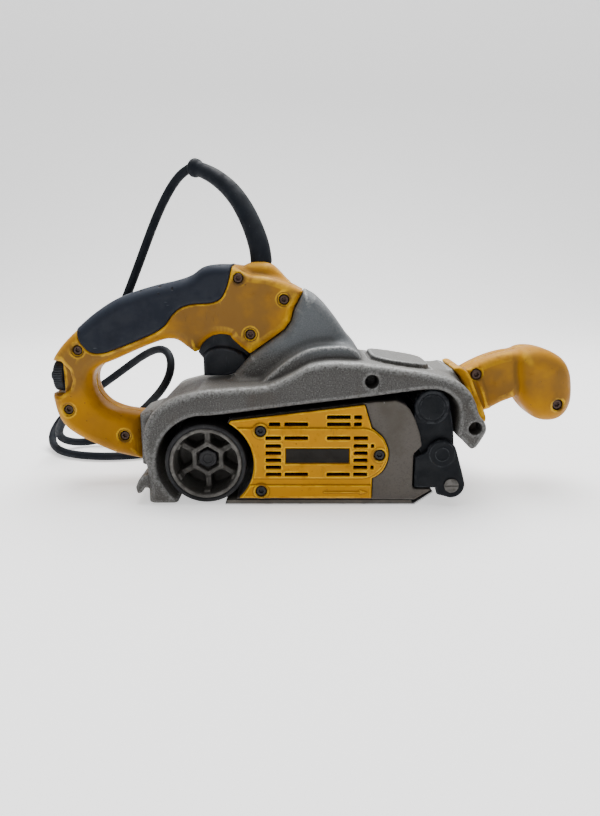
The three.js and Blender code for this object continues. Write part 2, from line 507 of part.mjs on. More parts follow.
// ---------------------------------------------------------------- handle
function handleWhole() {
  const loop = slab(HANDLE, -HANDLE_HALF, HANDLE_HALF, { bevel: 3.5, steps: 1 });
  const body = slab(BODY, -BODY_HALF, BODY_HALF, { bevel: 3, steps: 1 });
  const grip = gripSpace(GAP);
  const pocketLoop = slab(inset(HANDLE, SHELL + 1.6), -HANDLE_HALF + SHELL, HANDLE_HALF - SHELL);
  const pocketBody = slab(inset(BODY, SHELL), -BODY_HALF + SHELL, BODY_HALF - SHELL);
  const well = slab([[-87.4, 103], [-86.6, 110], [-80, 119], [-70, 124], [-58, 124], [-48, 118],
    [-41, 112], [-44, 100], [-60, 96]], -9.4, 9.4);
  const dialSpace = rod(DIAL.r + 0.8, -DIAL.width, DIAL.width / 2 + 0.6,
    { x: DIAL.x, z: DIAL.z, axis: "x", n: 28 });
  const scoops = [-1, 1].map((s) => slab([[-206, 74], [-190, 72.4], [-184, 79], [-184, 92], [-190, 98.6],
    [-206, 97]], s < 0 ? -HANDLE_HALF - 1 : 8.5, s < 0 ? -8.5 : HANDLE_HALF + 1));
  const guardBore = rod(7, 157, 176, { x: -38, z: 0, axis: "z", n: 20 });
  return cut(join(loop, body), grip, pocketLoop, pocketBody, well, dialSpace, ...scoops, guardBore);
}

// the space that the soft grip fills, a skin over the handle's top and sides
function gripSpace(extra) {
  const depth = GRIP_T + extra;
  const outer = slab(inset(GRIP, -extra), -HANDLE_HALF - 3, HANDLE_HALF + 3);
  const under = [...GRIP_TOP.map(([x, z]) => [x, z - depth]), [-56, 160], [-56, 90], [-182, 90],
    [-182, 116]];
  return cut(outer, slab(under, -HANDLE_HALF + depth, HANDLE_HALF - depth));
}

const SIDES = [["right", -1], ["left", 1]];
const SPLIT = 0.15; // each half stops this far from the middle
const half = (s) =>
  (s < 0 ? box(-300, -60, 0, 300, -SPLIT, 300) : box(-300, SPLIT, 0, 300, 60, 300));
const handle = handleWhole();
const gripWhole = common(slab(GRIP, -HANDLE_HALF - 1, HANDLE_HALF + 1, { bevel: 4.5, steps: 1 }),
  gripSpace(0));

const HANDLE_SCREWS = [
  [-175.9, 107.4, HANDLE_HALF], [-186.2, 61.6, HANDLE_HALF], [-144.4, 41, HANDLE_HALF],
  [-53.5, 160.7, BODY_HALF], [-20.6, 145.6, BODY_HALF], [-45.3, 120.3, BODY_HALF],
];
const LOCK = { x: -74, z: 130, r: 4.4 };
const screwTools = HANDLE_SCREWS.map(([x, z, w]) => join(
  rod(3.7, -w - 1, -w + 3, { x, z, n: 14 }), rod(1.9, -w - 1, 0, { x, z, n: 12 })));

for (const [name, s] of SIDES) {
  const shell = common(handle, half(s));
  const lockBore = rod(LOCK.r + GAP, 10, HANDLE_HALF + 5, { x: LOCK.x, z: LOCK.z, n: 16 });
  add(`handle_shell_${name}`, s < 0 ? cut(shell, ...screwTools) : cut(shell, lockBore), M.yellow);
  add(`grip_${name}`, common(gripWhole, half(s)), M.grip);
}
HANDLE_SCREWS.forEach(([x, z, w], i) =>
  add(`handle_screw_${i + 1}`, turned([[0, -w + 0.6], [3.2, -w + 0.6], [3.2, -w + 2.6],
    [1.5, -w + 2.6], [1.5, -w + 8], [0, -w + 8]], { x, z, n: 9 }), M.dark));

// ---------------------------------------------------------------- trigger, switch, speed control
const TRIGGER_WEB = [[-82, 100], [-82.6, 105.6], [-79.4, 111.6], [-74, 116.4], [-67, 118.8],
  [-60, 118], [-50, 115.6], [-44, 112.4], [-44.4, 108.6], [-52, 104], [-56, 96]];
const PADDLE = [[-82.7, 88.2], [-62, 88.2], [-58.4, 92], [-56.4, 97], [-60, 103], [-70, 105.4],
  [-78, 104.8], [-82.7, 102]];
add("trigger", cut(join(slab(TRIGGER_WEB, -8.6, 8.6), slab(PADDLE, -13, 13, { bevel: 2, steps: 1 })),
  rod(1.9, -15, 15, { x: TRIGGER_PIVOT.x, z: TRIGGER_PIVOT.z, n: 14 })), M.black);
add("trigger_pin", rod(1.5, -9.2, 9.2, { x: TRIGGER_PIVOT.x, z: TRIGGER_PIVOT.z, n: 12 }), M.steel);
add("switch_body", box(-60, -11, 126.5, -34, 11, 150), M.black);
add("lock_button", rod(LOCK.r, 11.6, HANDLE_HALF + 4, { x: LOCK.x, z: LOCK.z, n: 16 }), M.black);
add("speed_dial", toothedWheel(DIAL.r, 18, -DIAL.width / 2, DIAL.width / 2, 2, { x: 0, z: 0 })
  .rotateZ(Math.PI / 2).translate(DIAL.x, 0, DIAL.z), M.black);
add("speed_module", join(box(-190.4, -9, 76, -186, 9, 95), rod(1.6, -2.6, 9,
  { x: DIAL.x, z: DIAL.z, axis: "x", n: 12 })), M.black);

// ---------------------------------------------------------------- front handle
const KNOB = [[157, 104], ...smooth([[166, 109.4], [181, 107.4], [194.4, 98.6], [201.2, 84],
  [201.6, 66], [193.4, 52.4], [181.6, 49.8], [171, 55], [161, 66]], 2), [157, 76]];
const NECK = [[109, 88], [116.8, 94], [129, 98.9], [142, 103.6], [166, 106.6], [166, 68], [147.5, 66.6],
  [134, 60.4], [127, 60]];
const FLANGE = [[105.6, 94.4], [109.4, 95.6], [112.8, 94.6], [132.2, 57.6], [132, 53.6], [128.9, 55]];
function frontHandle() {
  const whole = join(slab(KNOB, -KNOB_HALF, KNOB_HALF, { bevel: 6, steps: 2 }),
    slab(NECK, -17, 17, { bevel: 3.5, steps: 1 }), slab(FLANGE, -23, 23, { bevel: 1.2, steps: 1 }));
  return cut(whole, slab(inset(KNOB, 6), -KNOB_HALF + 6, KNOB_HALF - 6),
    slab([[114, 88], [142, 98.6], [164, 98], [160, 74], [146, 72], [132, 66.4]], -12, 12));
}
const FRONT_SCREWS = [[124.8, 88.6, 17], [186, 66.5, KNOB_HALF]];
const frontWhole = frontHandle();
for (const [name, s] of SIDES) {
  const shell = common(frontWhole, half(s));
  const tools = FRONT_SCREWS.map(([x, z, w]) => join(rod(4, -w - 1, -w + 4, { x, z, n: 14 }),
    rod(1.9, -w - 1, 0, { x, z, n: 12 })));
  add(`front_handle_${name}`, s < 0 ? cut(shell, ...tools) : shell, M.yellow);
}
FRONT_SCREWS.forEach(([x, z, w], i) =>
  add(`front_handle_screw_${i + 1}`, turned([[0, -w + 1.4], [3.4, -w + 1.4], [3.4, -w + 3.6],
    [1.5, -w + 3.6], [1.5, -w + 9], [0, -w + 9]], { x, z, n: 9 }), M.dark));

// ---------------------------------------------------------------- cord
const GUARD_PATH = [[-38, 0, 160], [-38, 0, 171], [-39.4, 1, 182], [-44, 5, 196], [-52, 11, 212],
  [-62, 19, 225], [-74, 28, 235], [-86, 37, 241.4], [-93, 42, 244]];
function guard() {
  const path = new THREE.CatmullRomCurve3(GUARD_PATH.map((p) => V3(...p)));
  const n = 8;
  const rings = 12;
  const frames = path.computeFrenetFrames(rings, false);
  const position = [];
  for (let i = 0; i <= rings; i++) {
    const t = i / rings;
    const c = path.getPointAt(t);
    const r = t < 0.12 ? 6 : 7.2 - 2.6 * Math.min(1, (t - 0.12) / 0.7) + (t > 0.9 ? 0.8 : 0);
    for (let k = 0; k < n; k++) {
      const a = (k / n) * 2 * Math.PI;
      const p = c.clone().addScaledVector(frames.normals[i], r * Math.cos(a))
        .addScaledVector(frames.binormals[i], r * Math.sin(a));
      position.push(p.x, p.y, p.z);
    }
  }
  const index = [];
  for (let i = 0; i < rings; i++) {
    for (let k = 0; k < n; k++) {
      const a = i * n + k;
      const b = i * n + ((k + 1) % n);
      index.push(a, b, a + n, b, b + n, a + n);
    }
  }
  for (let k = 1; k < n - 1; k++) {
    index.push(0, k + 1, k);
    index.push(rings * n, rings * n + k, rings * n + k + 1);
  }
  const g = new THREE.BufferGeometry();
  g.setAttribute("position", new THREE.Float32BufferAttribute(position, 3));
  g.setIndex(index);
  return g;
}
add("cord_guard", guard(), M.rubber);

// the free lead, from the guard to the coil behind the tool
const CORD_ROUTE = [
  [-94.2, 42.8, 244.4], [-102, 47.5, 243], [-111.5, 52, 234], [-119, 55, 219], [-125.5, 56.5, 203],
  [-131, 57, 188], [-141, 57, 165], [-152, 57, 142], [-165, 57.5, 117], [-179, 59, 92], [-194, 62, 68],
  [-208, 66, 46], [-220, 73, 27], [-226, 83, 11], [-219, 92, 5], [-203, 93, 4.2], [-187, 88, 8],
  [-170, 78, 19], [-153, 66, 34], [-139, 55, 51], [-129, 47, 70], [-126, 42, 87], [-133, 39, 97],
  [-145, 37, 94], [-160, 36, 82], [-177, 37, 67], [-195, 41, 51], [-212, 48, 36], [-225, 57, 20],
  [-228, 65, 8], [-219, 66, 4.6], [-200, 60, 4.2], [-180, 59, 4.2], [-158, 62, 4.2], [-135, 67, 4.2],
  [-110, 72, 4.2], [-85, 77, 4.2], [-60, 80, 4.2], [-34, 80, 4.2], [COIL.x - 4, 80, 4.2],
];
const cordCurve = new THREE.CatmullRomCurve3(CORD_ROUTE.map((p) => V3(...p)));
const cordSection = new THREE.Shape(circle(0, 0, LEAD_D / 2, 8).map(([x, z]) => V2(x, z)));
add("power_cord", new THREE.ExtrudeGeometry(cordSection, { steps: 78, bevelEnabled: false,
  extrudePath: cordCurve }), M.rubber);
add("cord_coil", turned([[COIL.r - COIL.half, 0.2], [COIL.r + COIL.half, 0.2],
  [COIL.r + COIL.half, COIL.top], [COIL.r - COIL.half, COIL.top], [COIL.r - COIL.half, 0.2]],
{ x: COIL.x, y: COIL.y, axis: "z", n: 28 }), M.rubber);
add("plug", join(box(58, 118, 0.2, 78, 150, 24), rod(2.4, 150, 168, { x: 63, z: 12, n: 12 }),
  rod(2.4, 150, 168, { x: 73, z: 12, n: 12 })), M.rubber);

export default sander;
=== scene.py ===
import math

import bmesh
import bpy
import numpy as np
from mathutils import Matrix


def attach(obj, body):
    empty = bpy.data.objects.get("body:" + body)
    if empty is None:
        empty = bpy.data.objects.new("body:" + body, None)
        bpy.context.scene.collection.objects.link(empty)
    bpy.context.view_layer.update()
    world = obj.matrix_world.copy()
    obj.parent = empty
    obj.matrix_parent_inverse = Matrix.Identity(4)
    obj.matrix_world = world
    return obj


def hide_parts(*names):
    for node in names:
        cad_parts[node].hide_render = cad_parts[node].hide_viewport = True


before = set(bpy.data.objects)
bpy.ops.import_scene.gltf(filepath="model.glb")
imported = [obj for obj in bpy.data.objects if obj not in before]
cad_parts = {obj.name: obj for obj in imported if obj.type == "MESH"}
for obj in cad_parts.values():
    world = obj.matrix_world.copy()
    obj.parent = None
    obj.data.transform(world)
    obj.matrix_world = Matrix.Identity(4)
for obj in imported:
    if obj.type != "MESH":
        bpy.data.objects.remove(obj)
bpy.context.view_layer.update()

MM = 0.001  # shapes are worked out in millimetres and built in metres

# ---- camera
EYE = (-0.00906, -0.4925, 0.1768)
TILT = 76.56             # degrees up from straight down
LENS, SENSOR = 28.24, 36

view = bpy.data.objects.new("view", bpy.data.cameras.new("view"))
bpy.context.scene.collection.objects.link(view)
view.location = EYE
view.rotation_euler = (math.radians(TILT), 0, 0)
view.data.lens = LENS
view.data.sensor_width = SENSOR
view.data.clip_start = 0.01
bpy.context.scene.camera = view


# ---- curves in space
def spline(points, per=6, closed=False):
    """Points along a smooth curve through the given ones, in any number of dimensions."""
    p = np.array(points, float)
    if closed:
        ends = p[-1:], p[:2]
    else:
        ends = [2 * p[0] - p[1]], [2 * p[-1] - p[-2]]
    q = np.concatenate([ends[0], p, ends[1]])
    out = []
    for a, b, c, d in zip(q, q[1:], q[2:], q[3:]):
        steps = np.sqrt([np.linalg.norm(b - a), np.linalg.norm(c - b), np.linalg.norm(d - c)])
        steps = np.maximum(steps, 1e-6)
        m1 = (c - b) + steps[1] * ((b - a) / steps[0] - (c - a) / (steps[0] + steps[1]))
        m2 = (c - b) + steps[1] * ((d - c) / steps[2] - (d - b) / (steps[1] + steps[2]))
        for k in range(per):
            t = k / per
            out.append((2 * t**3 - 3 * t**2 + 1) * b + (t**3 - 2 * t**2 + t) * m1
                       + (3 * t**2 - 2 * t**3) * c + (t**3 - t**2) * m2)
    if not closed:
        out.append(p[-1])
    return [tuple(at) for at in out]


def link(obj):
    bpy.context.scene.collection.objects.link(obj)
    return obj


# ---- cord
CORD_R = 3.5
COIL = (-8.0, 141.3)             # middle of the floor coil
COIL_OUT, COIL_STEP = 52.8, 7.5  # radius of the outermost turn, and from one turn to the next
COIL_LOW, COIL_HIGH = 3.7, 11.0  # heights of its two layers
CORD_ROUTE = [
    (-94.2, 42.8, 244.4), (-102, 45, 241), (-110, 46, 233), (-118, 46, 220), (-126, 46, 205),
    (-135, 45.5, 184), (-151, 44, 146), (-168, 40, 109), (-184, 35, 77), (-199, 34, 55),
    (-212, 40, 40), (-224, 55, 25), (-229, 73, 12), (-222, 87, 4.8), (-206, 92, 4), (-190, 92, 9),
    (-172, 84, 22), (-151, 70, 41), (-135, 56, 56), (-122.5, 48, 71), (-118, 52, 87),
    (-126, 66, 98), (-143, 82, 94.5), (-169, 95, 76), (-196, 102, 57), (-220, 106, 41),
    (-239, 105, 25), (-245, 92, 12), (-237, 73, 4.8), (-220, 56, 4), (-198, 48, 4),
    (-174, 46, 4), (-151, 51, 4), (-128, 61, 4), (-105, 71, 4), (-82, 78, 4), (-58, 82.5, 4),
    (-34, 87, 3.8),
]


def coil_points():
    """Four turns inwards on the floor, a climb, then three turns outwards on top of them."""
    def ease(t):
        t = min(1.0, max(0.0, t))
        return t * t * (3 - 2 * t)
    out = []
    inner = COIL_OUT - 3 * COIL_STEP
    for i in range(7 * 36 + 1):
        turn, part = divmod(i / 36, 1)
        shift = ease((part - 0.72) / 0.28)
        if turn < 3:
            r, z = COIL_OUT - COIL_STEP * (turn + shift), COIL_LOW
        elif turn < 4:
            r, z = inner, COIL_LOW + (COIL_HIGH - COIL_LOW) * ease((part - 0.4) / 0.32)
        else:
            r, z = inner + COIL_STEP * (turn - 4 + shift), COIL_HIGH
        a = math.radians(-90 + 10 * i)
        out.append((COIL[0] + r * math.cos(a), COIL[1] + r * math.sin(a), z))
    return out


def smooth_line(points, rounds):
    p = np.array(points, float)
    for _ in range(rounds):
        p[1:-1] = 0.5 * p[1:-1] + 0.25 * (p[:-2] + p[2:])
    return p


LEAD_TAIL = [(8, 88.2, 11), (24, 88.4, 11.2), (40, 90.2, 11.5), (54, 95.6, 11.8), (63.6, 105, 12),
             (67.6, 114.5, 12), (68, 121, 12)]
cord_line = smooth_line(spline(CORD_ROUTE + coil_points() + LEAD_TAIL, per=4), 12)
cord_data = bpy.data.curves.new("power_lead", "CURVE")
cord_data.dimensions = "3D"
cord_data.bevel_depth = 1.0  # each point's radius scales this down to the lead's
cord_data.bevel_resolution = 4
cord_data.use_fill_caps = True
cord_strand = cord_data.splines.new("POLY")
cord_strand.points.add(len(cord_line) - 1)
cord_strand.points.foreach_set(
    "co", np.c_[cord_line * MM, np.ones(len(cord_line))].astype("f4").ravel())
cord_strand.points.foreach_set("radius", np.full(len(cord_line), CORD_R * MM, "f4"))
cord_strand.use_smooth = True
power_lead = link(bpy.data.objects.new("power_lead", cord_data))
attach(power_lead, "housing")
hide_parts("power_cord", "cord_coil")


# ---- shapes from signed distances
def meet(p, q, r):
    """Where two distances are both negative, with the edge between them rounded by r."""
    p, q = p + r, q + r
    return np.minimum(np.maximum(p, q), 0) + np.hypot(np.maximum(p, 0), np.maximum(q, 0)) - r


class Field:
    """A block of space sampled every h millimetres; every shape is a distance, negative inside."""

    def __init__(self, lo, hi, h):
        self.h = h
        self.lo = np.array(lo, float)
        axes = [(a + h * np.arange(int(math.ceil((b - a) / h)) + 1)).astype("f4")
                for a, b in zip(lo, hi)]
        self.x = axes[0][:, None, None]
        self.y = axes[1][None, :, None]
        self.z = axes[2][None, None, :]

    def outline(self, points):
        """Distance in the XZ plane from a closed outline."""
        gx, gz = self.x[:, 0, :], self.z[0]
        best = np.full((gx.shape[0], gz.shape[1]), 1e9, "f4")
        inside = np.zeros(best.shape, bool)
        p = np.array(points, "f4")
        for (ax, az), (bx, bz) in zip(p, np.roll(p, -1, 0)):
            ux, uz = bx - ax, bz - az
            t = np.clip(((gx - ax) * ux + (gz - az) * uz) / (ux * ux + uz * uz + 1e-9), 0, 1)
            best = np.minimum(best, (gx - ax - t * ux) ** 2 + (gz - az - t * uz) ** 2)
            if az != bz:
                inside ^= ((az > gz) != (bz > gz)) & (gx < (bx - ax) * (gz - az) / (bz - az) + ax)
        return np.where(inside, -np.sqrt(best), np.sqrt(best))[:, None, :].astype("f4")

    def disc(self, cx, cz, r):
        return np.hypot(self.x - cx, self.z - cz) - r

    def slab(self, flat, y0, y1, r=0.0):
        """An XZ distance or outline carried from y0 to y1, its rims rounded by r."""
        if isinstance(flat, list):
            flat = self.outline(flat)
        return meet(flat, np.abs(self.y - (y0 + y1) / 2) - (y1 - y0) / 2, r)

    def rod(self, cx, cz, radius, y0, y1, r=0.0):
        return self.slab(self.disc(cx, cz, radius), y0, y1, r)

    def block(self, lo, hi, r=0.0):
        q = [np.abs(a - (l + u) / 2) - (u - l) / 2 + r
             for a, l, u in zip((self.x, self.y, self.z), lo, hi)]
        inner = np.minimum(np.maximum(np.maximum(q[0], q[1]), q[2]), 0)
        return inner + np.sqrt(sum(np.maximum(a, 0) ** 2 for a in q)) - r


def join(a, b, k=0.0):
    if k <= 0:
        return np.minimum(a, b)
    w = np.maximum(k - np.abs(a - b), 0) / k
    return np.minimum(a, b) - w * w * k * 0.25


def cut(a, b, k=0.0):
    return -join(-a, b, k)


def both(a, b, k=0.0):
    return -join(-a, -b, k)


INNER = (slice(1, -1),) * 3  # every grid place that has six neighbours


def around(f):
    """The sum of the six neighbours of each inner grid place."""
    return (f[2:, 1:-1, 1:-1] + f[:-2, 1:-1, 1:-1] + f[1:-1, 2:, 1:-1]
            + f[1:-1, :-2, 1:-1] + f[1:-1, 1:-1, 2:] + f[1:-1, 1:-1, :-2])


def bend_of(f, h):
    """How sharply the surface turns, in 1/mm: positive on ridges, negative in hollows."""
    b = np.zeros_like(f)
    b[INNER] = (around(f) - 6 * f[INNER]) / h**2
    return b


def eased(f, passes):
    """The same shape with its inner creases averaged away."""
    for _ in range(passes):
        g = f.copy()
        g[INNER] = around(f) / 6
        f = g
    return f


def sample(f, at):
    """Value and slope of a field at fractional grid places."""
    top = np.array(f.shape) - 2
    at = np.clip(at, 0, top + 0.999)
    i = np.minimum(at.astype(int), top)
    t = at - i
    value = np.zeros(len(at))
    slope = np.zeros((len(at), 3))
    for corner in np.ndindex(2, 2, 2):
        val = f[tuple((i + corner).T)]
        w = np.where(corner, t, 1 - t)
        value += val * w[:, 0] * w[:, 1] * w[:, 2]
        for axis, u, v in ((0, 1, 2), (1, 0, 2), (2, 0, 1)):
            slope[:, axis] += val * (1 if corner[axis] else -1) * w[:, u] * w[:, v]
    return value, slope


CORNERS = [corner[::-1] for corner in np.ndindex(2, 2, 2)]
EDGES = [(a, b) for a in range(8) for b in range(a + 1, 8)
         if sum(abs(p - q) for p, q in zip(CORNERS[a], CORNERS[b])) == 1]


SKIN_PASSES = 2


def skin(field, f):
    """Points and four-sided faces of the zero surface of f, by surface nets."""
    f = np.pad(f.astype("f4"), 1, constant_values=5.0)
    s = f < 0
    n = [d - 1 for d in f.shape]
    total = np.zeros(n, np.int8)
    for dx, dy, dz in CORNERS:
        total += s[dx:n[0] + dx, dy:n[1] + dy, dz:n[2] + dz]
    active = (total > 0) & (total < 8)
    ids = np.full(n, -1, np.int64)
    cell = np.argwhere(active)
    ids[active] = np.arange(len(cell))
    vals = np.stack([f[cell[:, 0] + d[0], cell[:, 1] + d[1], cell[:, 2] + d[2]] for d in CORNERS], 1)
    place = np.zeros((len(cell), 3))
    count = np.zeros(len(cell))
    for a, b in EDGES:
        cross = (vals[:, a] < 0) != (vals[:, b] < 0)
        t = np.where(cross, vals[:, a] / np.where(cross, vals[:, a] - vals[:, b], 1), 0)
        ca, cb = np.array(CORNERS[a]), np.array(CORNERS[b])
        place += np.where(cross[:, None], ca + t[:, None] * (cb - ca), 0)
        count += cross
    at = cell + place / count[:, None]
    quads = []
    for axis in range(3):
        lo = [slice(1, -1)] * 3
        hi = [slice(1, -1)] * 3
        lo[axis], hi[axis] = slice(0, -1), slice(1, None)
        change = s[tuple(lo)] != s[tuple(hi)]
        e = np.argwhere(change)
        e += [1 if a != axis else 0 for a in range(3)]
        into = s[e[:, 0], e[:, 1], e[:, 2]]
        u, v = [a for a in range(3) if a != axis]

        def near(du, dv):
            g = e.copy()
            g[:, u] -= du
            g[:, v] -= dv
            return ids[g[:, 0], g[:, 1], g[:, 2]]

        q = np.stack([near(1, 1), near(0, 1), near(0, 0), near(1, 0)], 1)
        turn = into if axis != 1 else ~into
        quads.append(np.where(turn[:, None], q, q[:, ::-1]))
    quads = np.concatenate(quads)
    for _ in range(SKIN_PASSES):
        mean = np.zeros_like(at)
        number = np.zeros(len(at))
        for k in range(4):
            for step in (1, 3):
                np.add.at(mean, quads[:, k], at[quads[:, (k + step) % 4]])
                np.add.at(number, quads[:, k], 1)
        at = at + 0.5 * (mean / np.maximum(number, 1)[:, None] - at)
        value, slope = sample(f, at)
        step = value[:, None] * slope / np.maximum((slope**2).sum(1), 0.05)[:, None]
        at = at - np.clip(step, -0.7, 0.7)
    return field.lo + (at - 1) * field.h, quads


def mesh_object(name, points, faces):
    """A mesh object from points in millimetres and faces of any one size."""
    me = bpy.data.meshes.new(name)
    faces = np.asarray(faces)
    me.vertices.add(len(points))
    me.vertices.foreach_set("co", (np.asarray(points) * MM).astype("f4").ravel())
    me.loops.add(faces.size)
    me.loops.foreach_set("vertex_index", faces.astype("i4").ravel())
    me.polygons.add(len(faces))
    me.polygons.foreach_set("loop_start", np.arange(0, faces.size, faces.shape[1], dtype="i4"))
    me.update(calc_edges=True)
    me.validate()
    me.polygons.foreach_set("use_smooth", np.full(len(me.polygons), True))
    return link(bpy.data.objects.new(name, me))


def apply_modifiers(obj):
    """The object with its modifiers worked into its mesh."""
    deps = bpy.context.evaluated_depsgraph_get()
    me = bpy.data.meshes.new_from_object(obj.evaluated_get(deps))
    obj.modifiers.clear()
    old = obj.data
    obj.data = me
    bpy.data.meshes.remove(old)
    return obj


def thin(obj, ratio):
    """Fewer triangles where the surface is flat."""
    m = obj.modifiers.new("thin", "DECIMATE")
    m.ratio = ratio
    return apply_modifiers(obj)


def piece(obj, body, slot, mat, *nodes):
    """Puts a finished object on its body, in place of the frame's nodes."""
    obj.data.materials.clear()
    obj.data.materials.append(mat)
    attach(obj, body)
    if nodes:
        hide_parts(*nodes)
    return obj


# by default the value is painted shade in recesses, corners and the belt channel, and on the housing a
# darkening towards the bottom
def paint(obj, values, name="dirt_and_shade"):
    """A number from 0 to 1 at each point, for the material to read."""
    a = obj.data.attributes.new(name, "FLOAT", "POINT")
    a.data.foreach_set("value", np.clip(values, 0, 1).astype("f4"))


def points_of(obj):
    """The object's points, in millimetres."""
    p = np.empty(len(obj.data.vertices) * 3, "f4")
    obj.data.vertices.foreach_get("co", p)
    return p.reshape(-1, 3) / MM


BEND_RANGE = 0.2  # from the first trace of wear or painted shade to the full amount, in 1/mm


def solid(name, field, f, body, slot, mat, *nodes, ratio=None):
    """A piece from a field, with its ridges marked for wear and its hollows for painted shade."""
    points, quads = skin(field, f)
    obj = mesh_object(name, points, quads)
    turn, _ = sample(bend_of(f, field.h), (points - field.lo) / field.h)
    paint(obj, (turn - 0.05) / BEND_RANGE, "wear")
    # hollows: painted shade in creases
    paint(obj, (-turn - 0.04) / BEND_RANGE, "hollow")
    if ratio:
        thin(obj, ratio)
    return piece(obj, body, slot, mat, *nodes)


def sealed(obj):
    """Closes the open ends of a mesh of quads and turns its faces to the outside."""
    bm = bmesh.new()
    bm.from_mesh(obj.data)
    bmesh.ops.holes_fill(bm, edges=[e for e in bm.edges if e.is_boundary])
    bmesh.ops.recalc_face_normals(bm, faces=bm.faces)
    for face in bm.faces:
        face.smooth = len(face.verts) == 4
    bm.to_mesh(obj.data)
    bm.free()
    return obj


def grid_quads(rows, columns, closed):
    """Faces over rows of points, each row a ring; closed also joins the last row to the first."""
    i, j = np.meshgrid(np.arange(rows if closed else rows - 1), np.arange(columns), indexing="ij")
    i2, j2 = (i + 1) % rows * columns, (j + 1) % columns
    i = i * columns
    return np.stack([i + j, i + j2, i2 + j2, i2 + j], -1).reshape(-1, 4)


def lathe(name, profile, cx, cz, n=96):
    """A piece turned about Y; profile is [(radius, y), ...] closed on itself."""
    p = np.array(profile, float)
    a = np.linspace(0, 2 * math.pi, n, endpoint=False)[:, None]
    ring = np.broadcast_arrays(cx + p[:, 0] * np.cos(a), p[:, 1], cz + p[:, 0] * np.sin(a))
    pts = np.stack(ring, -1).reshape(-1, 3)
    return sealed(mesh_object(name, pts, grid_quads(n, len(p), True)))


def round_corners(points, r, steps=3):
    """A profile with its corners rounded by about r."""
    p = np.array(points, float)
    out = []
    for i in range(len(p)):
        a, b, c = p[i - 1], p[i], p[(i + 1) % len(p)]
        u, v = a - b, c - b
        lu, lv = np.linalg.norm(u), np.linalg.norm(v)
        k = min(r, lu * 0.45, lv * 0.45)
        s, e = b + u / lu * k, b + v / lv * k
        for t in np.linspace(0, 1, steps + 1):
            out.append(tuple((1 - t) ** 2 * s + 2 * t * (1 - t) * b + t * t * e))
    return out


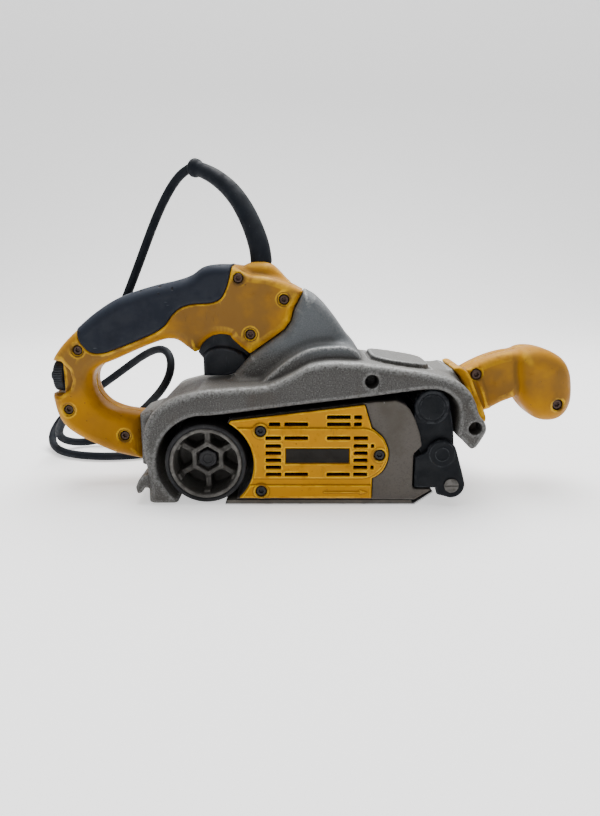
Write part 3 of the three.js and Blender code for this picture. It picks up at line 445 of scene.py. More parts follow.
# ---- materials
class Nodes:
    """Short names for building a node material."""

    def __init__(self, name):
        self.mat = bpy.data.materials.new(name)
        self.mat.use_nodes = True
        self.tree = self.mat.node_tree
        self.tree.nodes.clear()
        self.out = self.new("ShaderNodeOutputMaterial")
        self.shader = self.new("ShaderNodeBsdfPrincipled")
        self.wire(self.shader.outputs[0], self.out.inputs[0])
        self.place = self.new("ShaderNodeTexCoord").outputs["Object"]

    def new(self, kind, **values):
        n = self.tree.nodes.new(kind)
        for k, v in values.items():
            setattr(n, k, v)
        return n

    def wire(self, a, b):
        self.tree.links.new(a, b)

    def put(self, value, socket):
        """A link, a number or a colour of three numbers, into a socket."""
        if isinstance(value, bpy.types.NodeSocket):
            self.wire(value, socket)
        else:
            socket.default_value = (*value, 1) if isinstance(value, tuple) else value

    def math(self, op, a, b=0.0):
        n = self.new("ShaderNodeMath", operation=op)
        self.put(a, n.inputs[0])
        self.put(b, n.inputs[1])
        return n.outputs[0]

    def times(self, a, b):
        return self.math("MULTIPLY", a, b)

    def ramp(self, value, low, high):
        """0 below low, 1 above high, smooth between; low above high turns it round."""
        n = self.new("ShaderNodeMapRange", interpolation_type="SMOOTHSTEP")
        self.put(value, n.inputs[0])
        ends = (high, low, 1, 0) if low > high else (low, high, 0, 1)
        for socket, end in zip(n.inputs[1:5], ends):
            socket.default_value = end
        return n.outputs[0]

    def noise(self, size, detail=3.0, rough=0.55, stretch=(1, 1, 1), turn=0):
        """Noise whose blotches are about size millimetres across, drawn out and turned about Y."""
        where = self.new("ShaderNodeMapping")
        self.wire(self.place, where.inputs[0])
        where.inputs["Scale"].default_value = stretch
        where.inputs["Rotation"].default_value = (0, math.radians(turn), 0)
        n = self.new("ShaderNodeTexNoise")
        self.wire(where.outputs[0], n.inputs["Vector"])
        n.inputs["Scale"].default_value = 1 / (size * MM)
        n.inputs["Detail"].default_value = detail
        n.inputs["Roughness"].default_value = rough
        return n.outputs[0]

    def patches(self, low, high, *noise):
        """Noise that starts to show at low and is full at high."""
        return self.ramp(self.noise(*noise), low, high)

    def cells(self, size):
        """Distance from the nearest of many scattered points, about size millimetres apart."""
        n = self.new("ShaderNodeTexVoronoi")
        self.wire(self.place, n.inputs["Vector"])
        n.inputs["Scale"].default_value = 1 / (size * MM)
        return n.outputs["Distance"]

    def edge(self, low=0.1, high=0.7):
        """Ridges, which rub bright first."""
        return self.ramp(self.painted("wear"), low, high)

    def part(self, vector, axis):
        split = self.new("ShaderNodeSeparateXYZ")
        self.wire(vector, split.inputs[0])
        return split.outputs[axis]

    def facing(self, axis, low, high, signed=False):
        """0 to 1 as the surface turns to face along an axis, either way unless signed."""
        v = self.part(self.new("ShaderNodeNewGeometry").outputs["Normal"], axis)
        return self.ramp(v if signed else self.math("ABSOLUTE", v), low, high)

    def along(self, axis, low, high):
        """0 to 1 between two places on an axis, in millimetres."""
        return self.ramp(self.part(self.place, axis), low * MM, high * MM)

    # by default this reads the painted shade that paint() puts on
    def painted(self, name="dirt_and_shade"):
        """A value that paint() put on the points."""
        return self.new("ShaderNodeAttribute", attribute_name=name).outputs["Fac"]

    def mix(self, a, b, fac):
        """From colour a to colour b by fac."""
        n = self.new("ShaderNodeMix", data_type="RGBA", clamp_factor=True)
        self.put(fac, n.inputs[0])
        self.put(a, n.inputs[6])
        self.put(b, n.inputs[7])
        return n.outputs[2]

    def coat(self, under, colour, where, amount):
        """Another colour where a value says, by at most that amount."""
        return self.mix(under, colour, self.times(where, amount))

    def blend(self, a, b, fac):
        """From number a to number b by fac."""
        n = self.new("ShaderNodeMix", data_type="FLOAT", clamp_factor=True)
        self.put(fac, n.inputs[0])
        self.put(a, n.inputs[2])
        self.put(b, n.inputs[3])
        return n.outputs[0]

    def bump(self, height, depth, before=None):
        """Bump of that depth in millimetres."""
        n = self.new("ShaderNodeBump")
        n.inputs["Strength"].default_value = 1
        n.inputs["Distance"].default_value = depth * MM
        self.put(height, n.inputs["Height"])
        if before is not None:
            self.wire(before, n.inputs["Normal"])
        return n.outputs[0]

    def done(self, color, rough, metal=0.0, normal=None, **fixed):
        s = self.shader.inputs
        self.put(color, s["Base Color"])
        self.put(rough, s["Roughness"])
        self.put(metal, s["Metallic"])
        if normal is not None:
            self.wire(normal, s["Normal"])
        for k, v in fixed.items():
            s[k.replace("_", " ")].default_value = v
        return self.mat


def yellow_plastic(name, flank_shade=0.8, shade=0.55):
    """Moulded yellow plastic: fine grain, brownish painted shade in patches on the flanks, painted shade
    lower down, specks and scuffs.
    """
    m = Nodes(name)
    base = m.mix((0.39, 0.160, 0.0), (0.48, 0.214, 0.0), m.noise(26))
    # painted shade: faces turned sideways are darkened to a brownish tan, in patches
    flank_shade_mask = m.times(m.facing("Y", 0.45, 0.98), m.patches(0.30, 0.62, 45, 4))
    c = m.mix(base, (0.12, 0.066, 0.028), m.times(flank_shade_mask, flank_shade))
    # painted shade: darker towards the bottom
    c = m.coat(c, (0.20, 0.078, 0.0), m.along("Z", 100, 45), shade)
    c = m.coat(c, (0.16, 0.062, 0.006), m.patches(0.56, 0.74, 9, 6, 0.7), 0.5)
    # painted shade in screw recesses and the corner behind the trigger
    c = m.mix(c, (0.05, 0.03, 0.015), m.painted())
    specks = m.times(m.ramp(m.cells(5), 0.13, 0.06), m.patches(0.5, 0.62, 14, 2))
    c = m.coat(c, (0.045, 0.03, 0.02), specks, 0.85)
    scuff = m.times(m.patches(0.66, 0.72, 1.1, 2, 0.5, (1, 1, 0.1), 38),
                   m.patches(0.52, 0.66, 17, 2))
    c = m.coat(c, (0.13, 0.075, 0.03), scuff, 0.6)
    worn = m.times(m.edge(0.2, 0.9), m.patches(0.35, 0.6, 12, 3))
    c = m.coat(c, (0.72, 0.40, 0.01), worn, 0.65)
    # painted shade in hollows
    c = m.coat(c, (0.10, 0.05, 0.012), m.painted("hollow"), 0.55)
    rough = m.blend(0.42, 0.62, m.patches(0.35, 0.7, 16, 4))
    b = m.bump(m.noise(0.7, 2), 0.05)
    b = m.bump(m.noise(7, 4), 0.12, b)
    b = m.bump(m.math("ADD", specks, scuff), -0.2, b)
    return m.done(c, rough, 0.0, b, Specular_IOR_Level=0.22, Specular_Tint=(1, 0.72, 0.25, 1))


def cast_metal(name):
    """Bead-blasted cast alloy: speckled grey, lighter on upward faces as painted light so the flanks are
    darker, bright where it is rubbed, more so on upward edges as a painted highlight.
    """
    m = Nodes(name)
    base = m.mix((0.042, 0.040, 0.038), (0.068, 0.066, 0.063), m.noise(14, 5))
    grain = m.noise(1.0, 3, 0.7)
    c = m.mix(base, (0.022, 0.021, 0.019), m.times(m.ramp(grain, 0.50, 0.64), 0.7))
    c = m.coat(c, (0.19, 0.19, 0.185), m.ramp(grain, 0.45, 0.30), 0.6)
    c = m.coat(c, (0.04, 0.032, 0.025), m.patches(0.5, 0.72, 30, 4), 0.6)
    # painted light: faces turned upwards are lighter
    c = m.coat(c, (0.22, 0.215, 0.20), m.facing("Z", 0.25, 0.85, True), 0.55)
    c = m.coat(c, (0.105, 0.118, 0.13), m.along("Z", 100, 116), 0.7)
    # painted shade in hollows
    c = m.coat(c, (0.03, 0.027, 0.024), m.painted("hollow"), 0.6)
    # painted shade inside the belt channel, and darker towards the bottom
    c = m.mix(c, (0.05, 0.042, 0.034), m.painted())
    worn = m.times(m.edge(0.1, 0.9), m.patches(0.3, 0.62, 1.7, 3))
    # rubbed edges are partly real wear; weighting them to upward faces is a painted highlight
    worn = m.times(worn, m.blend(0.3, 1.0, m.facing("Z", 0.05, 0.6, True)))
    c = m.coat(c, (0.34, 0.345, 0.34), worn, 0.65)
    rough = m.blend(m.blend(0.5, 0.68, m.ramp(grain, 0.4, 0.6)), 0.42, worn)
    b = m.bump(grain, 0.22)
    b = m.bump(m.noise(9, 3), 0.3, b)
    return m.done(c, rough, 0.3, b, Specular_IOR_Level=0.4)


def plate_metal(name):
    """The inner frame: brownish cast face with bright nicks and a rubbed lower edge."""
    m = Nodes(name)
    grain = m.noise(1.3, 3, 0.65)
    c = m.mix((0.055, 0.047, 0.039), (0.078, 0.068, 0.058), m.noise(18, 4))
    c = m.coat(c, (0.036, 0.031, 0.026), m.ramp(grain, 0.5, 0.68), 0.6)
    c = m.mix(c, (0.048, 0.04, 0.03), m.patches(0.52, 0.7, 34, 4))
    nick = m.times(m.patches(0.71, 0.76, 2.2, 2, 0.5, (1, 1, 0.35), 40),
                  m.patches(0.5, 0.6, 15, 2))
    low = m.times(m.along("Z", 4.6, 3.2), m.patches(0.3, 0.55, 4, 3))
    bright = m.math("MAXIMUM", m.math("MAXIMUM", nick, low), m.times(m.edge(0.3, 1.0), 0.7))
    c = m.mix(c, (0.5, 0.49, 0.47), bright)
    # painted shade on the frame set back behind the near face
    c = m.mix(c, (0.012, 0.012, 0.013), m.painted())
    return m.done(c, m.blend(0.6, 0.32, bright), m.blend(0.3, 0.8, bright), m.bump(grain, 0.14))


def black_material(name, tone, dust, rough=0.5, metal=0.0, grain=0.08, shine=0.28, rubbed=0.4):
    """Black painted metal, plastic or rubber, with dust, light scratches and rubbed edges."""
    m = Nodes(name)
    c = m.mix(tone, tuple(v * 2 + 0.001 for v in tone), m.noise(12, 4))
    c = m.mix(c, tuple(v * 3 + 0.008 for v in tone), m.times(m.patches(0.52, 0.78, 22, 5), dust))
    scratch = m.times(m.patches(0.69, 0.74, 0.9, 2, 0.5, (1, 1, 0.08), 62),
                     m.patches(0.5, 0.62, 13, 2))
    rub = m.times(m.edge(0.35, 1.0), m.patches(0.4, 0.62, 5, 4))
    mark = m.math("MAXIMUM", m.times(scratch, 0.55), m.times(rub, rubbed))
    c = m.mix(c, tuple(v * 4 + 0.045 for v in tone), mark)
    r = m.blend(rough, min(1.0, rough + 0.22), m.patches(0.35, 0.7, 10, 4))
    b = m.bump(m.noise(0.8, 2), grain)
    b = m.bump(m.noise(8, 3), 0.12, b)
    return m.done(c, r, metal, b, Specular_IOR_Level=shine)


def soft_grip(name):
    """Soft over-moulded rubber: blue-black, with a painted highlight on its upward faces and chips along
    its top.
    """
    m = Nodes(name)
    c = m.mix((0.004, 0.0062, 0.0125), (0.009, 0.013, 0.023), m.noise(20, 4))
    # painted highlight: faces turned upwards are lighter
    c = m.coat(c, (0.026, 0.034, 0.052), m.facing("Z", 0.15, 0.9, True), 0.75)
    scratch = m.times(m.patches(0.70, 0.74, 0.8, 2, 0.5, (0.08, 1, 1), -18),
                     m.patches(0.53, 0.63, 16, 2))
    chip = m.times(m.ramp(m.cells(6.5), 0.26, 0.18),
                  m.times(m.patches(0.52, 0.58, 19, 2), m.facing("Z", 0.1, 0.5, True)))
    c = m.coat(c, (0.15, 0.16, 0.18), scratch, 0.5)
    c = m.mix(c, (0.006, 0.006, 0.008), chip)
    r = m.blend(0.5, 0.78, m.patches(0.35, 0.65, 14, 4))
    b = m.bump(m.noise(0.6, 2), 0.05)
    b = m.bump(chip, -0.7, b)
    return m.done(c, r, 0.0, b, Specular_IOR_Level=0.25)


def bare_metal(name, tone, rough=0.35, turned=True, dirt_and_shade=0.5):
    """Machined metal with turning marks and oily dust."""
    m = Nodes(name)
    lines = m.noise(0.6, 2, 0.5, (0.05, 1, 0.05)) if turned else m.noise(0.9, 3)
    c = m.mix(tone, tuple(v * 0.6 for v in tone), m.times(m.noise(8, 4), 0.8))
    c = m.mix(c, (0.05, 0.04, 0.03), m.times(m.patches(0.5, 0.72, 10, 5), dirt_and_shade))
    return m.done(c, m.blend(rough, rough + 0.25, m.noise(6, 3)), 0.85, m.bump(lines, 0.04))


YELLOW = yellow_plastic("yellow_shell")
COVER_YELLOW = yellow_plastic("yellow_cover", flank_shade=0.1, shade=0.0)
CAST = cast_metal("cast_housing")
PLATE = plate_metal("inner_frame")
GRIP = soft_grip("soft_grip")
BLACK = black_material("black_plastic", (0.003, 0.0045, 0.0075), 0.25)
ARM_BLACK = black_material("black_metal", (0.0012, 0.002, 0.0034), 0.12, grain=0.12, shine=0.16)
HUB = black_material("drum_hub", (0.038, 0.036, 0.033), 0.5, metal=0.2, grain=0.16)
RUBBER = black_material("drum_tyre", (0.003, 0.003, 0.004), 0.25, 0.6, grain=0.1, shine=0.35)
CORD = black_material("cord_rubber", (0.0028, 0.0042, 0.007), 0.1, 0.62, grain=0.05, shine=0.18)
COVER_SCREW = black_material("cover_screw", (0.004, 0.004, 0.005), 0.5, 0.45, grain=0.1)
STEEL = bare_metal("steel", (0.42, 0.42, 0.42))
SCREW = bare_metal("screw_steel", (0.085, 0.055, 0.045), 0.45, turned=False, dirt_and_shade=0.7)
COPPER = bare_metal("copper_winding", (0.45, 0.20, 0.09), 0.4)
CORK = black_material("cork", (0.06, 0.055, 0.048), 0.4, 0.85, grain=0.4, shine=0.2)
LABEL = black_material("label", (0.005, 0.004, 0.003), 0.08, grain=0.1, shine=0.15, rubbed=0.0)


def screw_recess_shade(p, holes, radius, reach=3.2, strength=0.85):
    """Painted shade in and around the near side's screw recesses, for each point of p."""
    dirt_and_shade = np.zeros(len(p))
    for x, z, _ in holes:
        d = np.hypot(p[:, 0] - x, p[:, 2] - z)
        ring = np.clip((radius + reach - d) / reach, 0, 1) ** 2
        dirt_and_shade = np.maximum(dirt_and_shade, strength * ring * (p[:, 1] < 0))
    return dirt_and_shade


# ---- outlines, as in the frame
NEAR = -57              # the near face, in Y
DRUM = (-76.8, 31.2)    # centres in XZ, from here on
MOTOR = (4, 37.5)
UPPER = (84.6, 71.9)    # upper roller
PIN = (92.3, 38.6)      # pivot of the arms
NOSE = (99.9, 15.3)     # nose roller
LUG_HOLE = (114.8, 57.6)
SIDE_HOLE = (41, 91.2)
LOCK = (-74, 130)       # lock button
LEAD_X = -38            # where the lead leaves the handle
DIAL_X, DIAL_Z = -194.6, 85.6
TRIGGER_PIN = (-48, 111)


def arc(cx, cz, r, a0, a1, steps=24):
    return [(cx + r * math.cos(math.radians(a0 + (a1 - a0) * i / steps)),
             cz + r * math.sin(math.radians(a0 + (a1 - a0) * i / steps))) for i in range(steps + 1)]


HOOD = [(-119.2, -12)] + spline([
    (-119.2, 1.6), (-118.8, 20), (-121.6, 44), (-119.8, 57), (-113.6, 68.4), (-101.6, 77.4),
    (-80, 84.6), (-56, 87), (-31, 89), (-16.4, 95.4), (-2, 103), (12, 105.2), (33, 104.4),
    (60, 101), (84, 97), (101, 91.2), (110.4, 83.4), (115.6, 74)], 4) + [
    (117, 66), (110, 54), (103.4, 48), (103.6, 24), (96, 10), (78, 4.2), (-94, 4.2), (-94, -12)]
DECK = [(-140, 80), (-119, 80), (-101.6, 82), (-80, 87), (-56, 89), (-31, 91), (-16.4, 98), (-2, 105.6),
        (12, 107.8), (33, 107), (60, 103.4), (84, 99.4), (101, 95), (112, 91), (140, 90)]
LUG = spline([(110, 76), (116.6, 67), (121.4, 62), (122.9, 56.4), (119.6, 49), (115.4, 42.8),
              (112.2, 41.9), (107.6, 46.2), (101.8, 52.7)], 4) + [(103, 66)]
CHANNEL = [(101.8, 52.7)] + spline([(103.2, 64), (102.4, 73), (98.2, 80), (91, 84.4), (84, 85.6),
                                    (74.3, 85.2)], 4) + [(41.1, 80.6), (-12.5, 74.2), (-66, 67.4)] + \
    arc(*DRUM, 35.5, 86, 236, 30) + [(-96.6, -8), (140, -8), (140, 41.6), (112.8, 41.6)]
SHOULDER = spline([(-47, 78), (-41, 84), (-30.7, 93.4), (-16.3, 105), (-3.3, 112), (10, 114),
                   (25.2, 113.6), (33, 108.6), (37.6, 96)], 4) + [(38, 84)]
TOWER = [(-6, 151.8)] + spline([(2, 147.4), (10, 139.8), (25.5, 119.4), (38, 97)], 4) + [
    (38, 80), (-60, 80), (-57.6, 91), (-45.2, 104.8), (-20, 123), (-15.4, 129.6), (-12.9, 139)]
FLANGE_BOSS = [(84, 88), (101.6, 94.6), (105.2, 93.6), (127.8, 56.8), (121.5, 55), (106, 62), (94, 82)]
REAR_BOSS = [(-112, 62), (-120, 63.5), (-131.4, 59), (-131.4, 19), (-119, 15), (-112, 40)]
HOOK = [(-114, 22), (-121.5, 21.4), (-126, 18.4), (-128.6, 12.4), (-127.4, 7.6), (-124.4, 8.2),
        (-122, 12), (-114, 12)]
CASE = [(-117.6, 4), (-117.9, 22), (-119, 44), (-110, 66), (-78.6, 80), (26, 80), (38, 68), (38, 18),
        (20, 4)]

BUMP = spline([(-60, 160), (-58.5, 168.6), (-51, 169.3), (-46.6, 171.2), (-39, 172), (-31.6, 171),
               (-24.8, 165.9), (-17.5, 157.4)], 4) + [(-20, 145), (-55, 145)]
SEAM = [(-13.3, 139.2), (-15.8, 129.8), (-20.3, 123.6), (-46, 105.6)]
BODY = [(-61, 162.6)] + spline([(-56, 164), (-46, 163), (-32, 161.4), (-17.5, 156.6), (-6.9, 151)], 4) \
    + SEAM + [(-53, 111), (-59.4, 116.6), (-64, 126)]
LOOP = [(-131.8, 20.5)] + spline([
    (-153.7, 25.6), (-169.2, 32.7), (-180.7, 38.8), (-191, 46.8), (-196.2, 56), (-198.9, 69),
    (-200.2, 85), (-198.2, 97), (-190.8, 108.6), (-176, 123), (-161.8, 134.5), (-145.9, 144.3),
    (-130.3, 150.3), (-114.9, 154.7), (-99.7, 158.1), (-88.3, 162.1), (-80.5, 167.3),
    (-72.9, 169.3), (-58, 169.4)], 5) + [(-50, 165), (-30, 158), (-16, 150)] + SEAM + \
    [(-53, 111), (-59.4, 116.6)] + arc(-66.5, 99.7, 20, 68, 160, 14) + \
    spline([(-88.8, 104.9), (-95.4, 110), (-101.8, 114.4), (-108.6, 115.2), (-117.1, 113),
            (-132.9, 106.8), (-148.8, 99.8), (-162.2, 94), (-166.8, 88.6), (-168, 80), (-165.3, 71.2),
            (-158.6, 63.9), (-147.6, 59.2), (-135.7, 57.2)], 5) + [(-131.8, 57)]
GRIP_OUT = [(-56, 182), (-58.6, 168)] + spline([
    (-60, 161), (-63, 152.4), (-67, 146), (-73.6, 143), (-88.7, 141.6), (-97.6, 138.8),
    (-103.7, 133.7), (-109.3, 126.3), (-116, 121.4), (-128.4, 115.8), (-143.8, 109.8),
    (-156.8, 105.5), (-166, 106), (-172.4, 112), (-176.4, 121.4)], 5) + [(-190, 150)]
KNOB = spline([(152.6, 104.6), (158.4, 109), (165.6, 110), (173, 109.4), (182.6, 106.4), (192.4, 100),
               (197.8, 91), (200.4, 78), (200.4, 66), (197, 57.6), (190.6, 52), (181.6, 50.6),
               (173.2, 52.6), (164, 60), (157, 70.6), (153, 84), (151.4, 96)], 5)
NECK = [(106, 86)] + spline([(114, 90), (117.4, 92.2), (129, 98.6), (142, 103.4), (154, 105.6),
                             (158, 105)], 4) + [
    (163, 100), (163, 80), (156, 70), (147, 66.4), (136.4, 60.7), (127, 58)]
FLANGE = spline([(105.8, 94.2), (109.4, 95.6), (113.2, 94), (117.4, 90), (124.6, 74), (132, 57.4),
                 (131.6, 53.4), (128.9, 54.6), (119.6, 72), (110.4, 88.6)], 3, closed=True)

# ---- screws: (x, z, half width there)
HANDLE_SCREWS = [(-175.9, 107.4, 17), (-186.2, 61.6, 17), (-144.4, 41, 17),
                 (-53.5, 160.7, 26), (-20.6, 145.6, 26), (-45.3, 120.3, 26)]
FRONT_SCREWS = [(124.8, 88.6, 16), (186, 66.5, 21)]
COVER_SCREWS = [(-36.9, 56.0, -NEAR), (-37.0, 11.2, -NEAR), (47.6, 38.4, -NEAR)]
CROWN_SLOPE = 0.13      # how fast the deck falls towards the far side


# ---- casting
def main_housing():
    g = Field((-131, -60, -1), (131, 57, 155), 1.15)
    hood = g.slab(HOOD, NEAR, 54, 6)
    crown = np.interp(g.x, *zip(*DECK)) - CROWN_SLOPE * np.maximum(g.y + 6, 0)
    hood = both(hood, g.z - crown, 4)
    for flat, y0, y1, r, k in ((SHOULDER, -45, 45, 2.6, 1.6), (TOWER, -31, 31, 9, 6),
                               (FLANGE_BOSS, -23, 23, 4, 5), (REAR_BOSS, -22, 22, 5, 3),
                               (HOOK, -54, -20, 1.2, 1), (LUG, NEAR, 54, 2, 4)):
        hood = join(hood, g.slab(flat, y0, y1, r), k)
    px, py = np.maximum(np.abs(g.x - 64) - 4, 0), np.maximum(np.abs(g.y + 12) - 14, 0)
    pad = np.maximum(np.hypot(px, py) - 17, 88 - g.z)
    hood = join(hood, both(hood - 3.2, pad, 1.0), 0.3)
    hood = cut(hood, both(np.abs(pad - 1.4) - 0.7, -(hood + 0.8)), 0.3)
    channel = g.outline(CHANNEL)
    case = g.outline(CASE)
    hood = cut(hood, g.slab(channel, NEAR - 9, 22), 2.5)
    far = cut(g.slab(channel, 27, 70), g.slab(case, 20, 54, 3))
    hood = cut(hood, far, 1.5)
    hood = cut(hood, g.slab(case + 4, 28, 70), 1)
    bosses = join(g.rod(*DRUM, 17, 26, 40, 1), g.rod(*MOTOR, 15, 21, 31, 1))
    hood = join(hood, bosses, 2)
    for (x, z), r, y0, y1 in ((DRUM, 13.2, 20, 44.5), (MOTOR, 11.2, 20, 32), (UPPER, 3.6, 0, 40)):
        hood = cut(hood, g.rod(x, z, r, y0, y1))
    for y0, y1 in ((NEAR - 3, NEAR + 14), (40, 57)):
        hood = cut(hood, g.rod(*LUG_HOLE, 4.7, y0, y1), 1.2)
    hood = cut(hood, g.rod(*SIDE_HOLE, 4.8, NEAR - 3, NEAR + 16), 1.2)
    flat = g.outline(BODY)
    clear = np.where(np.abs(g.y) < 20, flat + 2.0, flat - 0.45)
    hood = cut(hood, np.maximum(clear, np.abs(g.y) - 27), 0.5)
    hood = cut(hood, g.block((-300, -18, 15), (-131.6, 18, 62)))
    hood = both(hood, 1.6 - g.z)
    obj = solid("main_housing_cast", g, hood, "housing", "cast_housing", CAST, "main_housing",
                ratio=0.55)
    p = points_of(obj)
    # painted shade: set back from the near face, inside the belt channel, the cast is darkened
    inside = (np.clip((p[:, 1] + 53) / 8, 0, 1) * (p[:, 2] < 84) * (np.abs(p[:, 0]) < 118)
              * (p[:, 1] < 21))
    # darker towards the bottom
    foot = np.clip((16 - p[:, 2]) / 14, 0, 1) * 0.35
    paint(obj, np.maximum(inside * 0.95, foot))


main_housing()

# ---- handle
TRIGGER_WELL = [(-88.4, 101), (-89.6, 108), (-88.6, 115), (-83, 123), (-74, 128), (-60, 128.4),
                (-50, 122), (-41, 112), (-44, 96), (-60, 92)]


def handle_field(g):
    """The whole handle before it is split, with its collar for the lead."""
    swell = np.clip((g.x + 92) / 42, 0, 1)
    half = 17 + 9 * swell * swell * (3 - 2 * swell)
    f = meet(join(g.outline(LOOP), g.outline(BODY)), np.abs(g.y) - half, 9 - 3 * swell)
    return join(f, g.slab(BUMP, -15, 15, 8), 4)


def screw_seat(g, f, x, z, half):
    """A screw hole in the near face, with a shallow step round it."""
    f = cut(f, g.rod(x, z, 3.8, -half - 4, -half + 4.4), 0.5)
    step = g.disc(x, z, 5.2)
    return cut(f, both(g.slab(step, -half - 4, -half + 0.6), step), 0.5)


def split_halves(g, f, gap=0.12):
    """The two mouldings, parted at the middle by a seam."""
    return {"right": both(f, g.y + gap), "left": both(f, -g.y + gap)}


def handle():
    g = Field((-206, -30, 14), (0, 30, 176), 0.95)
    f = handle_field(g)
    grip2d = g.outline(GRIP_OUT)
    grip = both(both(f - 0.7, grip2d, 1.2), -(f + 2.6))
    shell = cut(f, both(grip2d - 0.5, -(f + 2.0)), 0.4)
    shell = cut(shell, g.slab(TRIGGER_WELL, -9.8, 9.8))
    shell = cut(shell, g.block((-215, -13.2, 73), (-190.4, 13.2, 98.2)))
    scoop = [(-212, 73.5), (-192, 72.2), (-184, 77), (-181.4, 84), (-183, 92), (-189, 98.6), (-212, 98)]
    for s in (-1, 1):
        lo, hi = sorted((s * 10, s * 26))
        shell = cut(shell, g.slab(scoop, lo, hi, 3), 3)
    for x, z, half in HANDLE_SCREWS:
        shell = screw_seat(g, shell, x, z, half)
    shell = cut(shell, np.hypot(g.x - LEAD_X, g.y) - 7 + np.maximum(158 - g.z, 0) * 9)
    button = np.hypot(g.disc(*LOCK, 0), np.maximum(11 - g.y, 0)) - 4.8
    shell = cut(shell, button)
    grip = cut(grip, button)
    shells = split_halves(g, shell)
    grips = split_halves(g, grip)
    for side in ("right", "left"):
        o = solid(f"handle_shell_{side}_moulding", g, shells[side], "housing", "yellow_shell", YELLOW,
                  f"handle_shell_{side}", ratio=0.5)
        p = points_of(o)
        # painted shade round the screw recesses and in the corner behind the trigger
        beak = np.exp(-(((p[:, 0] + 89) / 6) ** 2 + ((p[:, 2] - 106) / 6) ** 2)) * 0.9
        paint(o, np.maximum(screw_recess_shade(p, HANDLE_SCREWS if side == "right" else [], 4.4), beak))
        solid(f"grip_{side}_moulding", g, grips[side], "housing", "soft_grip", GRIP, f"grip_{side}",
              ratio=0.5)


handle()


# ---- front handle
def front_handle():
    g = Field((103, -27, 46), (206, 27, 113), 0.9)
    f = eased(g.slab(KNOB, -23, 23, 16) + 0.9, 16)
    f = join(f, g.slab(NECK, -14.5, 14.5, 7), 2.4)
    f = join(f, g.slab(FLANGE, -23, 23, 2), 1.5)
    band = [(118.4, 92), (126, 96), (134.6, 76), (138, 62), (132, 60)]
    f = join(f, g.slab(band, -16.2, 16.2, 6.5), 1.2)
    for x, z, half in FRONT_SCREWS:
        f = cut(f, g.rod(x, z, 4.3, -half - 6, -half + 4.8), 0.6)
    for side, h in split_halves(g, f).items():
        o = solid(f"front_handle_{side}_moulding", g, h, "housing", "yellow_shell", YELLOW,
                  f"front_handle_{side}", ratio=0.6)
        # painted shade in and around the screw recesses
        paint(o, screw_recess_shade(points_of(o), FRONT_SCREWS if side == "right" else [], 4.6))


front_handle()


# ---- screws
def screw(node, x, z, head_y, r, socket, mat):
    """A recessed screw head with a rounded rim and a star or hexagon socket."""
    g = Field((x - r - 1, head_y - 1, z - r - 1), (x + r + 1, head_y + 9, z + r + 1), 0.34)
    f = g.rod(x, z, r, head_y, head_y + 2.4, 0.7)
    f = join(f, g.rod(x, z, 1.6, head_y + 1, head_y + 8), 0.4)
    star = g.disc(x, z, 0) - socket * (1 + 0.16 * np.cos(6 * np.arctan2(g.z - z, g.x - x)))
    f = cut(f, g.slab(star, head_y - 2, head_y + 1.7), 0.2)
    solid(f"{node}_head", g, f, "housing", "screw_steel", mat, node)


for stem, places, depth, r, socket, mat in (
        ("handle_screw", HANDLE_SCREWS, 1.6, 3.3, 1.5, SCREW),
        ("front_handle_screw", FRONT_SCREWS, 2, 3.7, 1.7, SCREW),
        ("vent_cover_screw", COVER_SCREWS, -0.2, 3.6, 1.7, COVER_SCREW)):
    for number, (x, z, half) in enumerate(places, 1):
        screw(f"{stem}_{number}", x, z, depth - half, r, socket, mat)


# ---- vent cover
COVER = [(42.6, 5.4)] + spline([
    (42.6, 20.6), (46.4, 22.8), (50.8, 27.4), (54, 38.3), (50.6, 49.4), (46, 54.4), (41.6, 57.8)], 4) \
    + [(36.4, 74.6), (-57.8, 63.2)] + arc(*DRUM, 34.8, 60, -47.5, 30)
SLOTS = [  # (from x, to x, heights of the rows)
    (-33.5, -22.5, (51.0, 45.2, 39.9, 34.6, 29.3, 24)), (-20, -3.4, (60.8, 51.0, 24)),
    (-31, -23, (60.8,)), (10, 26.6, (66, 60.8, 51.0, 24)),
    (29, 39, (51.0, 45.2, 39.9, 34.6, 29.3, 24)), (29, 34.5, (66, 60.8)), (41.2, 43.6, (45.2, 29.3)),
]


